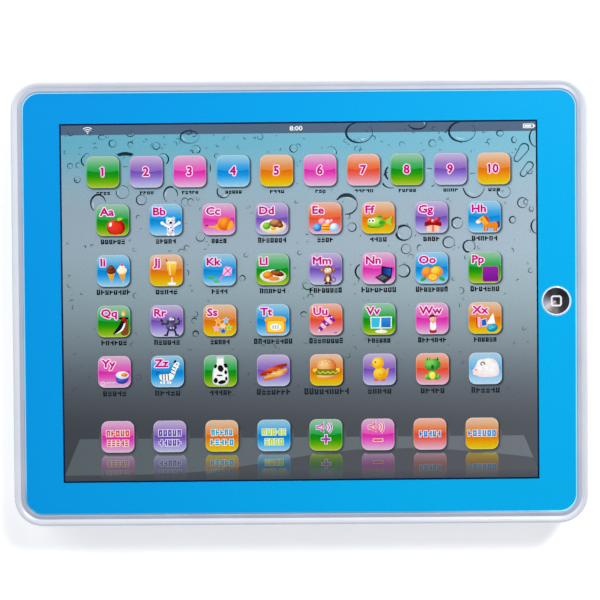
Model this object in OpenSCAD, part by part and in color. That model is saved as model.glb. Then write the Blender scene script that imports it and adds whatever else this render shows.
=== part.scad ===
// Toy learning tablet: a white tray with a grey front frame, a printed film over a
// membrane keypad, a sprung home button, a speaker and a battery compartment.
// Millimetres. It lies on its back: +Z is out of the face, +Y towards the face's top edge.

/* [Case] */
// Width of the case
body_w = 240; // [236:1:260]
// Depth of the case, from the face's bottom edge to its top edge
body_d = 185.5; // [183:0.5:200]
// Thickness of the case
body_h = 23; // [22.5:0.5:26]
// Corner radius of the case's outline
corner_r = 12; // [11:0.5:14]
// Rounding of the edge round the back
back_edge_r = 6; // [4:0.5:7]
// Thickness of the rear cover's walls
wall = 2.2; // [2:0.1:2.4]

/* [Face] */
// Distance from the case's outline to the film's edge
film_margin = 4.6; // [4.4:0.1:5.4]
// Thickness of the printed film
film_t = 0.5; // [0.3:0.1:0.7]
// Depth of the film's face below the rim
film_sink = 1.3; // [1:0.1:1.6]
// Thickness of the moulded deck under the film
deck_t = 2.6; // [2.4:0.1:2.8]

/* [Keypad] */
// Width of the membrane's sheets
membrane_w = 198; // [190:1:200]
// Depth of the membrane's sheets
membrane_d = 154; // [150:1:156]
// Side of the window under each printed key
key_window = 9; // [7:0.5:10]
// Spacing of the ten number keys
number_pitch = 18.2; // [17.5:0.1:18.6]
// Spacing of the eight picture keys in a row
picture_pitch = 22.2; // [21:0.1:22.6]
// Spacing of the eight mode keys
mode_pitch = 21.8; // [20:0.1:22.2]

/* [Home button] */
// Distance of the button's centre from the middle of the face
home_x = 106.9; // [106.7:0.1:107.3]
// Outside radius of the bright ring
ring_r = 6.05; // [5.8:0.05:6.2]
// Width of the bright ring
ring_w = 0.6; // [0.5:0.05:0.8]
// How far the button travels
home_travel = 0.5; // [0.3:0.1:0.8]

/* [Batteries] */
// Diameter of a cell
cell_d = 14.5; // [14:0.1:14.6]
// Length of a cell with its raised end
cell_len = 50.5; // [50:0.1:50.8]
// Spacing of the cells
cell_pitch = 15; // [14.8:0.1:15.2]

/* [Hidden] */
$fn = 64;

bite = 0.4;             // how far one part of a moulding runs into the next
through = 1;            // how far a cutter runs past the face that it opens
slip = 0.15;            // gap between the rear cover's lip and the front frame

// Heights, from the face down
film_top = body_h - film_sink;
film_base = film_top - film_t;
deck_base = film_base - deck_t;
sheet_t = 0.25;
spacer_t = 0.3;
pocket_slack = 0.2;
pocket_z = film_base - 2 * sheet_t - spacer_t;

// Inner grey rim of the front frame, as distances from the corner's centre
rim_out = corner_r - wall - slip;
rim_in = corner_r - film_margin;
rim_crest = body_h - 0.25;
rim_drop = 0.65;
rim_bevel = 0.3;
skirt_t = 1.6;
skirt_h = 4;
film_gap = 0.1;

// Case screws: four corners, and one in the middle of each long side
screw_x = 104;
screw_y = 80;
case_screw_spots = [for (x = [-screw_x, 0, screw_x], y = [-screw_y, screw_y]) [x, y]];
post_r = 4.5;
post_top = 11;
well_r = 3.2;
well_depth = 8.6;
case_screw_r = 1.5;
case_screw_len = 8;
case_head_r = 2.8;
case_head_t = 2;
frame_boss_r = 3.5;
pilot_grip = 0.05;      // how much wider a frame boss's hole is than its screw
pilot_end = 0.6;        // plastic left above a frame boss's hole
screw_play = 0.2;       // gap round a screw's shank where it passes a part

// Keys, from the middle of the face
number_y = 55.3;
picture_y = 35.2;
picture_row_pitch = 21.2;
mode_y = -55.5;
function row(count, pitch, y) = [for (i = [0 : count - 1]) [(i - (count - 1) / 2) * pitch, y]];
key_spots = concat(
    row(10, number_pitch, number_y),
    [for (r = [0 : 3]) each row(8, picture_pitch, picture_y - r * picture_row_pitch)],
    row(8, mode_pitch, mode_y)
);

// Membrane tail, which drops through the deck beside the top edge of the sheets
tail_x = 20;
tail_w = 24;
tail_y = membrane_d / 2 + 1.6;
tail_t = 0.25;
tail_slot = 1.4;
tail_notch = 3;
tail_end_y = 59;
connector_h = 3;
connector_d = 6;
connector_side = 2;
connector_mouth = 0.5;

// Main board, hung under the deck with its parts on the lower side
board_x = 22;
board_y = 40;
board_w = 80;
board_d = 46;
board_t = 1.6;
board_base = 12;
board_top = board_base + board_t;
board_screw_inset = 4;
board_screw_r = 1;
board_screw_len = 4.6;
board_head_r = 2;
board_head_t = 1.4;
board_boss_r = 2.5;
chip_ball_r = 11.5;
chip_r = 8;
chip_sink = 9.2;
capacitor_r = 3.1;
capacitor_h = 7;
capacitor_pitch = 9;
capacitor_x = 20;        // the first capacitor, from the middle of the board
capacitor_y = -12;
lead_leg = 0.5;
capacitor_leg_x = 1.2;
resistor_r = 1.1;
resistor_len = 6;
resistor_span = 9;
resistor_pitch = 9;
resistor_x = -24;        // the first resistor, from the middle of the board
resistor_y = 16;
resistor_z = 1.4;
board_screw_spots = [
    for (sx = [-1, 1], sy = [-1, 1])
        [board_x + sx * (board_w / 2 - board_screw_inset), board_y + sy * (board_d / 2 - board_screw_inset)]
];

// Home button and its switch
button_gap = 0.1;
button_r = ring_r - ring_w - button_gap;
button_t = 1.6;
button_top = film_top + 0.2;
seat_floor = button_top - button_t - home_travel - 0.6;
seat_slack = 0.05;
stem_r = 2.1;
stem_end = 16.6;
collar_t = 0.9;
collar_w = 1;
dish_r = 40;
dish_depth = 0.3;
switch_board_base = 10.4;
switch_base = switch_board_base + board_t;
switch_h = 3.4;
switch_side = 6;
plunger_r = 1.7;
plunger_base = 2.2;     // above the switch's base
plunger_well = 1.2;
home_board_w = 16;
home_board_d = 24;
home_boss_y = 8.5;
home_board_x = home_x - 0.8;

// Speaker, face down over the grille
speaker_x = -68;
speaker_y = 36;
speaker_r = 18;
speaker_flange_t = 2;
speaker_collar_t = 1.4;
speaker_gap = 0.2;
cone_edge_r = 14.5;
magnet_r = 9;
basket_top = 10;
magnet_h = 5;
clamp_x = 21.5;
clamp_post_r = 2.4;
clamp_pilot_r = 0.9;
clamp_t = 1;
clamp_size = [8.4, 6, clamp_t];
clamp_offset = 1.7;
grille_slots = 7;
grille_pitch = 4;
grille_slot_w = 1.6;
grille_r = 14;

// Battery compartment, open through the back
bay_y = -38;
bay_w = 58;
bay_d = 3 * cell_pitch + 1;
bay_wall = 1.6;
bay_top = deck_base - 1.2;
bay_ceiling = 1;
door_t = 1.6;
door_z = 0.45;
door_gap = 0.3;
door_w = bay_w + 4;
door_front = bay_y + bay_d / 2 + 2.5;
door_hinge_y = bay_y - bay_d / 2 - 1.7;
door_axis_z = door_z + door_t / 2;
door_pin_r = 0.7;
door_pin_slack = 0.1;
door_pin_len = 1.6;
door_pin_play = 0.5;
ledge_t = 1.2;
ledge_w = 3;
tongue_r = 7;
door_boss_r = 4;
door_boss_h = 7;
grip_count = 5;
grip_start = 5;
grip_pitch = 2.4;
grip_size = [22, 0.9, 0.4];
grip_taper = 3;
door_screw_y = door_front + 4;
door_screw_r = 1.3;
door_screw_len = 4;
door_head_r = 2.7;
door_head_t = 0.8;
door_head_play = 0.2;   // gap round the door screw's head
door_head_sink = 0.05;  // how far the head lies below the door's outer face
door_seat_gap = 0.05;   // gap between the head and its seat
door_shank_play = 0.1;
door_boss_play = 0.5;
cell_z = door_z + door_t + 0.25 + cell_d / 2;
contact_t = 0.4;
contact_gap = 0.3;
contact_h = 11;
contact_short = 11;
contact_long = 26;
tab_z = 15;
tab_size = [5, 2.4, 0.4];
tab_slot = [4 * bay_wall, 3.2, 0.6];
nub_r = 2.6;
nub_len = 1.3;
cell_reach = bay_w / 2 - contact_gap - contact_t;
spring_turns = 4;
spring_steps = 12;
spring_wire_r = 0.35;
spring_wide_r = 5;
spring_narrow_r = 2.5;
lead_r = 0.6;

// Routes of the leads, inside the case
red_route = [[34, -23, 15], [38, -16, 16], [42, 0, 16], [45, 14, 15.5], [46, 20, 14.3]];
black_route = [[-34, -53, 15], [-37, -42, 16], [-36, -14, 16], [-20, 4, 16], [-5, 24, 14.3]];
speaker_route_a = [[-58, 38, 9.5], [-44, 42, 11], [-34, 44, 14], [-24, 43, 15.5], [-15, 40, 14.3]];
speaker_route_b = [[-58, 34, 9.5], [-45, 33, 11], [-34, 35, 14], [-24, 38, 15.5], [-15, 36, 14.3]];
switch_route_a = [[100, 3, 12.8], [88, 6, 14], [76, 17, 15], [66, 28, 15.5], [57, 31, 14.3]];
switch_route_b = [[100, -1, 12.8], [86, 1, 14], [74, 11, 15], [66, 23, 15.5], [57, 27, 14.3]];

// A smooth curve through the route's points, with the same number of rings in each span
rings_per_span = 3;
function bend(a, b, c, d, t) =
    0.5 * (2 * b + (c - a) * t + (2 * a - 5 * b + 4 * c - d) * t * t + (3 * b - a - 3 * c + d) * t * t * t);
function smooth(p) = [
    for (i = [0 : len(p) - 2], k = [0 : rings_per_span - 1])
        bend(p[max(i - 1, 0)], p[i], p[i + 1], p[min(i + 2, len(p) - 1)], k / rings_per_span),
    p[len(p) - 1]
];

// Rings round a path, each turned as little as possible from the one before
function unit(v) = v / norm(v);
function heading(p, i) = unit(p[min(i + 1, len(p) - 1)] - p[max(i - 1, 0)]);
function square_to(v, t) = unit(v - (v * t) * t);
function sides_of(p, start) = [
    for (i = 0, v = square_to(start, heading(p, 0)); i < len(p);
         i = i + 1, v = square_to(v, heading(p, min(i, len(p) - 1)))) v
];
module tube(path, r, sides, start = [0, 0.2, 1]) {
    n = len(path);
    side = sides_of(path, start);
    points = [
        for (i = [0 : n - 1], k = [0 : sides - 1])
            let (a = 360 * k / sides, t = heading(path, i))
                path[i] + r * (cos(a) * side[i] + sin(a) * cross(t, side[i]))
    ];
    skin = [
        for (i = [0 : n - 2], k = [0 : sides - 1])
            let (a = i * sides + k, b = i * sides + (k + 1) % sides)
                [a, a + sides, b + sides, b]
    ];
    first = [[for (k = [0 : sides - 1]) k]];
    last = [[for (k = [sides - 1 : -1 : 0]) (n - 1) * sides + k]];
    polyhedron(points, concat(skin, first, last), convexity = 10);
}

// Outline with round corners, and a profile swept round such an outline
module outline(w, d, r) {
    square([w - 2 * r, d], center = true);
    square([w, d - 2 * r], center = true);
    for (sx = [-1, 1], sy = [-1, 1])
        translate([sx * (w / 2 - r), sy * (d / 2 - r)]) circle(r);
}
module swept_rim(w, d, r) {
    for (i = [0 : 3]) {
        reach = (i % 2 == 0 ? w : d) / 2 - r;
        half_run = (i % 2 == 0 ? d : w) / 2 - r;
        rotate([0, 0, 90 * i]) {
            translate([reach, 0, 0]) rotate([90, 0, 0])
                linear_extrude(2 * half_run, center = true) children();
            translate([reach, half_run, 0]) rotate_extrude(angle = 90) children();
        }
    }
}
module block(size, at) translate(at) translate([-size.x / 2, -size.y / 2, 0]) cube(size);

// A screw with its head down: shank up from z = 0, and a cross recess in the head
module screw(shank_r, shank_len, head_r, head_t) {
    recess = [head_r * 1.3, head_r * 0.3, head_t * 0.6];
    difference() {
        union() {
            translate([0, 0, -head_t]) cylinder(r = head_r, h = head_t);
            cylinder(r = shank_r, h = shank_len);
        }
        for (a = [0, 90]) rotate([0, 0, a]) block(recess + [0, 0, through], [0, 0, -head_t - through]);
    }
}
module board_screw() screw(board_screw_r, board_screw_len, board_head_r, board_head_t);

// Rear cover: tray with a rounded lip, screw posts, grille and battery compartment
module tray_profile() {
    translate([corner_r - wall, back_edge_r]) square([wall, body_h - back_edge_r - wall / 2]);
    translate([corner_r - wall / 2, body_h - wall / 2]) circle(wall / 2);
    intersection() {
        translate([corner_r - back_edge_r, back_edge_r]) difference() {
            circle(back_edge_r);
            circle(back_edge_r - wall);
        }
        translate([corner_r - back_edge_r, 0]) square(back_edge_r);
    }
    square([corner_r - back_edge_r, wall]);
}
module door_outline(gap) {
    translate([-door_w / 2 - gap, door_hinge_y - door_t / 2 - gap])
        square([door_w + 2 * gap, door_front - door_hinge_y + door_t / 2 + 2 * gap]);
    translate([-tongue_r - gap, door_front]) square([2 * (tongue_r + gap), door_screw_y - door_front]);
    translate([0, door_screw_y]) circle(tongue_r + gap);
}
module grille() {
    for (i = [0 : grille_slots - 1]) {
        y = (i - (grille_slots - 1) / 2) * grille_pitch;
        block([2 * sqrt(grille_r * grille_r - y * y), grille_slot_w, wall + 2 * through], [0, y, -through]);
    }
}
module rear_cover() color("white") difference() {
    union() {
        swept_rim(body_w, body_d, corner_r) tray_profile();
        block([body_w - 2 * corner_r, body_d - 2 * corner_r, wall], [0, 0, 0]);
        for (p = case_screw_spots)
            translate([p.x, p.y, wall - bite]) cylinder(r = post_r, h = post_top - wall + bite);
        translate([speaker_x, speaker_y, wall - bite]) difference() {
            cylinder(r = speaker_r + speaker_gap + speaker_collar_t, h = speaker_flange_t + bite);
            translate([0, 0, -through])
                cylinder(r = speaker_r + speaker_gap, h = speaker_flange_t + bite + 2 * through);
        }
        for (s = [-1, 1]) translate([speaker_x + s * clamp_x, speaker_y, wall - bite])
            cylinder(r = clamp_post_r, h = speaker_flange_t + bite);
        block([bay_w + 2 * bay_wall, bay_d + 2 * bay_wall, bay_top + bay_ceiling - wall + bite],
              [0, bay_y, wall - bite]);
        translate([0, 0, wall - bite]) linear_extrude(ledge_t + bite) door_outline(ledge_w);
        translate([0, door_screw_y, wall]) cylinder(r = door_boss_r, h = door_boss_h);
    }
    for (p = case_screw_spots) translate([p.x, p.y, -through]) {
        cylinder(r = well_r, h = well_depth + through);
        cylinder(r = case_screw_r + screw_play, h = post_top + 2 * through);
    }
    translate([speaker_x, speaker_y, 0]) {
        grille();
        for (s = [-1, 1])
            translate([s * clamp_x, 0, wall]) cylinder(r = clamp_pilot_r, h = speaker_flange_t + through);
    }
    block([bay_w, bay_d, bay_top + through], [0, bay_y, -through]);
    for (s = [-1, 1])
        block(tab_slot, [s * bay_w / 2, bay_y + s * cell_pitch, tab_z - tab_slot.z / 2]);
    translate([0, 0, -through]) linear_extrude(wall + through) door_outline(door_gap);
    translate([0, door_hinge_y, door_axis_z]) rotate([0, 90, 0])
        cylinder(r = door_pin_r + door_pin_slack, h = door_w + 2 * (door_pin_len + door_pin_play),
                 center = true);
    translate([0, door_screw_y, wall])
        cylinder(r = door_screw_r + door_boss_play, h = door_screw_len + through);
}

// Front frame: grey rim and deck, with bosses for the case screws and the boards
module rim_profile() polygon([
    [rim_in, film_base - bite], [rim_in, rim_crest - rim_bevel], [rim_in + rim_bevel, rim_crest],
    [rim_out, rim_crest - rim_drop], [rim_out, film_base - bite]
]);
module skirt_profile() polygon([
    [rim_out - skirt_t, deck_base - skirt_h], [rim_out, deck_base - skirt_h],
    [rim_out, deck_base + bite], [rim_out - skirt_t, deck_base + bite]
]);
module frame_boss(at, r, base) translate([at.x, at.y, base]) cylinder(r = r, h = deck_base - base + bite);
module pilot(at, r, base)
    translate([at.x, at.y, base - through])
        cylinder(r = r + pilot_grip, h = deck_base - base + through - pilot_end);
home_screw_spots = [for (s = [-1, 1]) [home_board_x, s * home_boss_y]];
module front_frame() color("silver") difference() {
    rim_inset = 2 * (corner_r - rim_out);
    union() {
        swept_rim(body_w, body_d, corner_r) rim_profile();
        swept_rim(body_w, body_d, corner_r) skirt_profile();
        translate([0, 0, deck_base]) linear_extrude(deck_t)
            outline(body_w - rim_inset, body_d - rim_inset, rim_out);
        for (p = case_screw_spots) frame_boss(p, frame_boss_r, post_top);
        for (p = board_screw_spots) frame_boss(p, board_boss_r, board_top);
        for (p = home_screw_spots) frame_boss(p, board_boss_r, switch_base);
    }
    block([membrane_w + 2 * pocket_slack, membrane_d + 2 * pocket_slack, film_base], [0, 0, pocket_z]);
    block([tail_w + 1, tail_notch, film_base], [tail_x, membrane_d / 2 + 1, pocket_z]);
    block([tail_w + 1, tail_slot, film_base], [tail_x, tail_y, deck_base - through]);
    for (p = case_screw_spots) pilot(p, case_screw_r, post_top);
    for (p = board_screw_spots) pilot(p, board_screw_r, board_top);
    for (p = home_screw_spots) pilot(p, board_screw_r, switch_base);
    translate([home_x, 0, seat_floor]) cylinder(r = ring_r + seat_slack, h = film_base);
    translate([home_x, 0, deck_base - through]) cylinder(r = stem_r + button_gap, h = film_base);
}

// Printed film, and the three sheets of the membrane keypad under it
module face_film() color("deepskyblue") difference() {
    inset = 2 * (film_margin + film_gap);
    translate([0, 0, film_base]) linear_extrude(film_t)
        outline(body_w - inset, body_d - inset, rim_in - film_gap);
    translate([home_x, 0, film_base - through]) cylinder(r = ring_r + film_gap, h = film_t + 2 * through);
}
module sheet(z, t) block([membrane_w, membrane_d, t], [0, 0, z]);
module membrane_bottom_sheet() color("lightgrey") sheet(pocket_z, sheet_t);
module membrane_spacer() color("white") difference() {
    sheet(pocket_z + sheet_t, spacer_t);
    for (p = key_spots)
        block([key_window, key_window, spacer_t + 2 * through], [p.x, p.y, pocket_z + sheet_t - through]);
}
module membrane_top_sheet() color("gainsboro") sheet(pocket_z + sheet_t + spacer_t, sheet_t);
module membrane_tail() color("lightgrey") {
    low = board_top + connector_h / 2;
    translate([tail_x - tail_w / 2, 0, 0]) rotate([90, 0, 90]) linear_extrude(tail_w) polygon([
        [membrane_d / 2, pocket_z], [tail_y - tail_t, pocket_z], [tail_y - tail_t, low + tail_t],
        [tail_end_y, low + tail_t], [tail_end_y, low], [tail_y, low], [tail_y, pocket_z + tail_t],
        [membrane_d / 2, pocket_z + tail_t]
    ]);
}
module tail_connector() color("ivory") difference() {
    mouth_gap = (connector_mouth - tail_t) / 2;
    block([tail_w + 2 * connector_side, connector_d, connector_h], [tail_x, tail_end_y, board_top]);
    block([tail_w + 2 * pocket_slack, connector_d, connector_mouth],
          [tail_x, tail_end_y + connector_d / 2 - mouth_gap, board_top + connector_h / 2 - mouth_gap]);
}

// Main board and what is soldered to it
module main_board() color("seagreen") difference() {
    block([board_w, board_d, board_t], [board_x, board_y, board_base]);
    for (p = board_screw_spots)
        translate([p.x, p.y, board_base - through])
            cylinder(r = board_screw_r + screw_play, h = board_t + 2 * through);
}
module sound_chip() color("black") translate([board_x, board_y, board_base]) mirror([0, 0, 1])
    intersection() {
        translate([0, 0, -chip_sink]) sphere(r = chip_ball_r, $fn = 160);
        cylinder(r = chip_r, h = chip_ball_r);
    }
module capacitors() color("midnightblue") for (x = [0, capacitor_pitch]) {
    translate([board_x + capacitor_x + x, board_y + capacitor_y, board_base]) mirror([0, 0, 1]) {
        translate([0, 0, lead_leg]) cylinder(r = capacitor_r, h = capacitor_h);
        for (s = [-1, 1]) block([lead_leg, lead_leg, 2 * lead_leg], [s * capacitor_leg_x, 0, 0]);
    }
}
module resistors() color("tan") for (i = [0 : 5]) {
    x = board_x + resistor_x + resistor_pitch * i;
    translate([x, board_y + resistor_y, board_base]) mirror([0, 0, 1]) {
        translate([0, 0, resistor_z]) rotate([90, 0, 0])
            cylinder(r = resistor_r, h = resistor_len, center = true);
        block([lead_leg, resistor_span + lead_leg, lead_leg], [0, 0, resistor_z - lead_leg / 2]);
        for (s = [-1, 1])
            block([lead_leg, lead_leg, resistor_z + lead_leg / 2], [0, s * resistor_span / 2, 0]);
    }
}
module board_screws() color("lightsteelblue") for (p = board_screw_spots)
    translate([p.x, p.y, board_base]) board_screw();

// Home button: bright ring, dished button on a stem, and the small switch below it
module home_ring() color("silver") translate([home_x, 0, 0]) rotate_extrude() {
    inner = ring_r - ring_w;
    translate([inner, seat_floor]) square([ring_w, film_top - seat_floor]);
    translate([inner + ring_w / 2, film_top]) circle(ring_w / 2);
}
module home_button() color("dimgray") translate([home_x, 0, 0]) difference() {
    union() {
        translate([0, 0, button_top - button_t]) cylinder(r = button_r, h = button_t);
        translate([0, 0, stem_end]) cylinder(r = stem_r, h = button_top - stem_end - bite);
        translate([0, 0, deck_base - button_gap - collar_t]) cylinder(r = stem_r + collar_w, h = collar_t);
    }
    translate([0, 0, button_top + dish_r - dish_depth]) sphere(r = dish_r, $fn = 200);
}
module home_plunger() color("black") translate([home_x, 0, switch_base + plunger_base])
    cylinder(r = plunger_r, h = stem_end - switch_base - plunger_base);
module home_switch() color("darkslategray") difference() {
    block([switch_side, switch_side, switch_h], [home_x, 0, switch_base]);
    translate([home_x, 0, switch_base + plunger_well]) cylinder(r = plunger_r + seat_slack, h = switch_h);
}
module home_switch_board() color("seagreen") difference() {
    block([home_board_w, home_board_d, board_t], [home_board_x, 0, switch_board_base]);
    for (p = home_screw_spots)
        translate([p.x, p.y, switch_board_base - through])
            cylinder(r = board_screw_r + screw_play, h = board_t + 2 * through);
}
module home_board_screws() color("lightsteelblue") for (p = home_screw_spots)
    translate([p.x, p.y, switch_board_base]) board_screw();

// Speaker, clamped over the grille
module speaker_part() translate([speaker_x, speaker_y, 0]) children();
module speaker_frame() color("slategray") speaker_part() rotate_extrude() polygon([
    [cone_edge_r, wall], [speaker_r, wall], [speaker_r, wall + speaker_flange_t],
    [cone_edge_r + 0.8, wall + speaker_flange_t], [magnet_r + 0.8, basket_top - 1],
    [magnet_r + 0.8, basket_top], [6, basket_top], [6, basket_top - 1], [magnet_r, basket_top - 1],
    [cone_edge_r, wall + speaker_flange_t]
]);
module speaker_cone() color("darkgray") speaker_part() rotate_extrude() polygon([
    [0, 6.2], [3, 6], [5, 5.2], [5.4, 7.2], [cone_edge_r - 0.3, 3], [cone_edge_r - 0.3, 3.5],
    [5.6, 8.4], [4.8, 8.4], [4.6, 5.8], [3, 6.5], [0, 6.7]
]);
module speaker_magnet() color("dimgray") speaker_part() translate([0, 0, basket_top]) {
    cylinder(r = magnet_r, h = magnet_h);
}
module speaker_clamps() color("lightsteelblue") for (s = [-1, 1])
    speaker_part() translate([s * clamp_x, 0, wall + speaker_flange_t]) difference() {
        block(clamp_size, [-s * clamp_offset, 0, 0]);
        translate([0, 0, -through]) cylinder(r = clamp_pilot_r + 0.1, h = clamp_t + 2 * through);
    }
module speaker_screws() color("lightsteelblue") for (s = [-1, 1])
    speaker_part() translate([s * clamp_x, 0, wall + speaker_flange_t + clamp_t]) mirror([0, 0, 1])
        screw(0.85, 2.8, 1.9, 1.2);

// Battery compartment: contact plates, conical springs and three cells
cell_rows = [for (i = [1, 0, -1]) bay_y + i * cell_pitch];
turned = [1, -1, 1];
module contact(side, y, d)
    block([contact_t, d, contact_h], [side * (cell_reach + contact_t / 2), y, cell_z - contact_h / 2]);
module contact_tab(side, y)
    block(tab_size, [side * (cell_reach + contact_t / 2 + tab_size.x / 2), y, tab_z - tab_size.z / 2]);
module battery_contacts() color("gold") {
    contact(1, cell_rows[0], contact_short);
    contact_tab(1, cell_rows[0]);
    contact(1, (cell_rows[1] + cell_rows[2]) / 2, contact_long);
    contact(-1, (cell_rows[0] + cell_rows[1]) / 2, contact_long);
    contact(-1, cell_rows[2], contact_short);
    contact_tab(-1, cell_rows[2]);
}
module battery_springs() color("silver") for (i = [0 : 2]) {
    side = -turned[i];
    seat = cell_reach - spring_wire_r - 0.05;
    tip = cell_len - cell_reach + spring_wire_r + 0.05;
    steps = spring_turns * spring_steps;
    path = [
        for (k = [0 : steps])
            let (f = k / steps, a = 360 * k / spring_steps, r = spring_wide_r * (1 - f) + spring_narrow_r * f)
                [side * (seat + (tip - seat) * f), cell_rows[i] + r * cos(a), cell_z + r * sin(a)]
    ];
    tube(path, spring_wire_r, 6, [1, 0, 0]);
}
module cell(i) {
    translate([0, cell_rows[i], cell_z]) rotate([0, turned[i] * 90, 0])
        translate([0, 0, cell_reach - cell_len]) {
            cylinder(r = cell_d / 2, h = cell_len - nub_len);
            cylinder(r = nub_r, h = cell_len);
        }
}
module battery_cell_1() color("goldenrod") cell(0);
module battery_cell_2() color("goldenrod") cell(1);
module battery_cell_3() color("goldenrod") cell(2);

// Battery door: flat plate on two pins, with a tongue for its screw
module battery_door() color("whitesmoke") difference() {
    union() {
        intersection() {
            translate([0, 0, door_z]) linear_extrude(door_t) door_outline(0);
            block([door_w + 2 * through, body_d, door_z + door_t + through],
                  [0, door_hinge_y + body_d / 2, 0]);
        }
        translate([0, door_hinge_y, door_axis_z]) rotate([0, 90, 0]) {
            cylinder(r = door_t / 2, h = door_w, center = true);
            cylinder(r = door_pin_r, h = door_w + 2 * door_pin_len, center = true);
        }
    }
    for (i = [0 : grip_count - 1])
        block(grip_size + [-grip_taper * i, 0, through],
              [0, door_front - grip_start - grip_pitch * i, door_z - through]);
    translate([0, door_screw_y, door_z - through]) {
        cylinder(r = door_head_r + door_head_play,
                 h = through + door_head_sink + door_head_t + door_seat_gap);
        cylinder(r = door_screw_r + door_shank_play, h = door_t + 2 * through);
    }
}
module battery_door_screw() color("lightsteelblue")
    translate([0, door_screw_y, door_z + door_head_sink + door_head_t])
        screw(door_screw_r, door_screw_len, door_head_r, door_head_t);

module case_screws() color("lightsteelblue") for (p = case_screw_spots)
    translate([p.x, p.y, well_depth]) screw(case_screw_r, case_screw_len, case_head_r, case_head_t);

// Leads
module lead(route) tube(smooth(route), lead_r, 8);
module battery_lead_red() color("red") lead(red_route);
module battery_lead_black() color("black") lead(black_route);
module speaker_leads() color("dimgray") {
    lead(speaker_route_a);
    lead(speaker_route_b);
}
module home_switch_leads() color("yellow") {
    lead(switch_route_a);
    lead(switch_route_b);
}

rear_cover();
front_frame();
face_film();
membrane_top_sheet();
membrane_spacer();
membrane_bottom_sheet();
membrane_tail();
tail_connector();
main_board();
sound_chip();
capacitors();
resistors();
board_screws();
home_ring();
home_button();
home_plunger();
home_switch();
home_switch_board();
home_board_screws();
speaker_frame();
speaker_cone();
speaker_magnet();
speaker_clamps();
speaker_screws();
battery_contacts();
battery_springs();
battery_cell_1();
battery_cell_2();
battery_cell_3();
battery_door();
battery_door_screw();
case_screws();
battery_lead_red();
battery_lead_black();
speaker_leads();
home_switch_leads();
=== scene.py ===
"""Toy learning tablet, lying face up: the materials, printed face, light and camera round its CAD model.

Blender works in metres. The printed face is drawn in millimetres from the middle of the film, and
colours are sRGB values from 0 to 255.
"""
import math
import random

import bpy
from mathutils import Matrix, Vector
from mathutils.geometry import delaunay_2d_cdt


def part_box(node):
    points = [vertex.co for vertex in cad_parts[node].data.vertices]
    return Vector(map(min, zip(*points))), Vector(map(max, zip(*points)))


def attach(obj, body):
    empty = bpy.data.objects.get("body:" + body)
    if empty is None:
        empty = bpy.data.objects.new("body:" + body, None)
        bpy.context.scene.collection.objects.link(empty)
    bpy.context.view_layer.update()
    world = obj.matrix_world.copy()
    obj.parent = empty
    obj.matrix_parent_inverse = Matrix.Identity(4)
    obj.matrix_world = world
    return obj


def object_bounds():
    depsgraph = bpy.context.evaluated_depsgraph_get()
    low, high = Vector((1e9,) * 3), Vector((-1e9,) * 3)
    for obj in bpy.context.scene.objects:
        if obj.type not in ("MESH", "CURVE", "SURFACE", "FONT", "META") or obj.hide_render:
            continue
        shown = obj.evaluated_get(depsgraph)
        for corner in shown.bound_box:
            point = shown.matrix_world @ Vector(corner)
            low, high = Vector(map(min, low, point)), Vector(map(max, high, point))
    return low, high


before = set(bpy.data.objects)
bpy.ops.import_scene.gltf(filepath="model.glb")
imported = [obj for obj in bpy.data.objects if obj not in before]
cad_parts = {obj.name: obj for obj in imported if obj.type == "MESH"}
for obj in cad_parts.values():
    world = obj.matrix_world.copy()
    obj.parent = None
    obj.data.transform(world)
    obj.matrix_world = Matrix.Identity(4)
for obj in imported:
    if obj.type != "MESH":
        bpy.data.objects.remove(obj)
cad_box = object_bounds()
MM = 0.001

film_low, film_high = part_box("face_film")
FACE_Z = film_high.z / MM
FILM_W = (film_high.x - film_low.x) / MM
FILM_D = (film_high.y - film_low.y) / MM
PRINT_MARGIN = 0.3      # clear film outside the print
PRINT_W = FILM_W - 2 * PRINT_MARGIN
PRINT_D = FILM_D - 2 * PRINT_MARGIN
PRINT_R = 7.0           # corner radius of the print
ring_low, ring_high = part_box("home_ring")
HOME_X = (ring_low.x + ring_high.x) / 2 / MM
HOME_R = (ring_high.x - ring_low.x) / 2 / MM
SKIN = 0.02             # thickness of one skin of ink
# How many skins lie below each part of the print
BORDER_LEVEL, SCREEN_LEVEL, LINE_LEVEL, DROP_LEVEL, WORD_LEVEL, KEY_LEVEL = range(6)


# ---------------------------------------------------------------- colours

WHITE = (250, 250, 248)
CREAM = (250, 234, 196)
SKIN_TONE = (247, 206, 172)
ROSE = (250, 190, 210)
PINK = (242, 120, 190)
MAGENTA = (200, 30, 140)
RED = (216, 38, 28)
DARK_RED = (150, 18, 20)
CORAL = (238, 96, 62)
ORANGE = (240, 132, 24)
AMBER = (246, 174, 40)
YELLOW = (252, 218, 70)
LIME = (156, 216, 60)
GREEN = (62, 160, 48)
DARK_GREEN = (28, 96, 40)
TEAL = (20, 128, 150)
CYAN = (60, 190, 224)
SKY = (120, 200, 240)
BLUE = (34, 96, 200)
NAVY = (28, 34, 84)
VIOLET = (96, 60, 160)
PURPLE = (140, 30, 160)
TAN = (206, 148, 92)
BROWN = (132, 72, 34)
CHOCOLATE = (92, 40, 26)
BLACK = (24, 22, 28)
GREY = (124, 128, 138)
SILVER = (206, 210, 218)
LETTER_INK = (196, 20, 126)
LETTER_HALO = (255, 222, 244)

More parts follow.
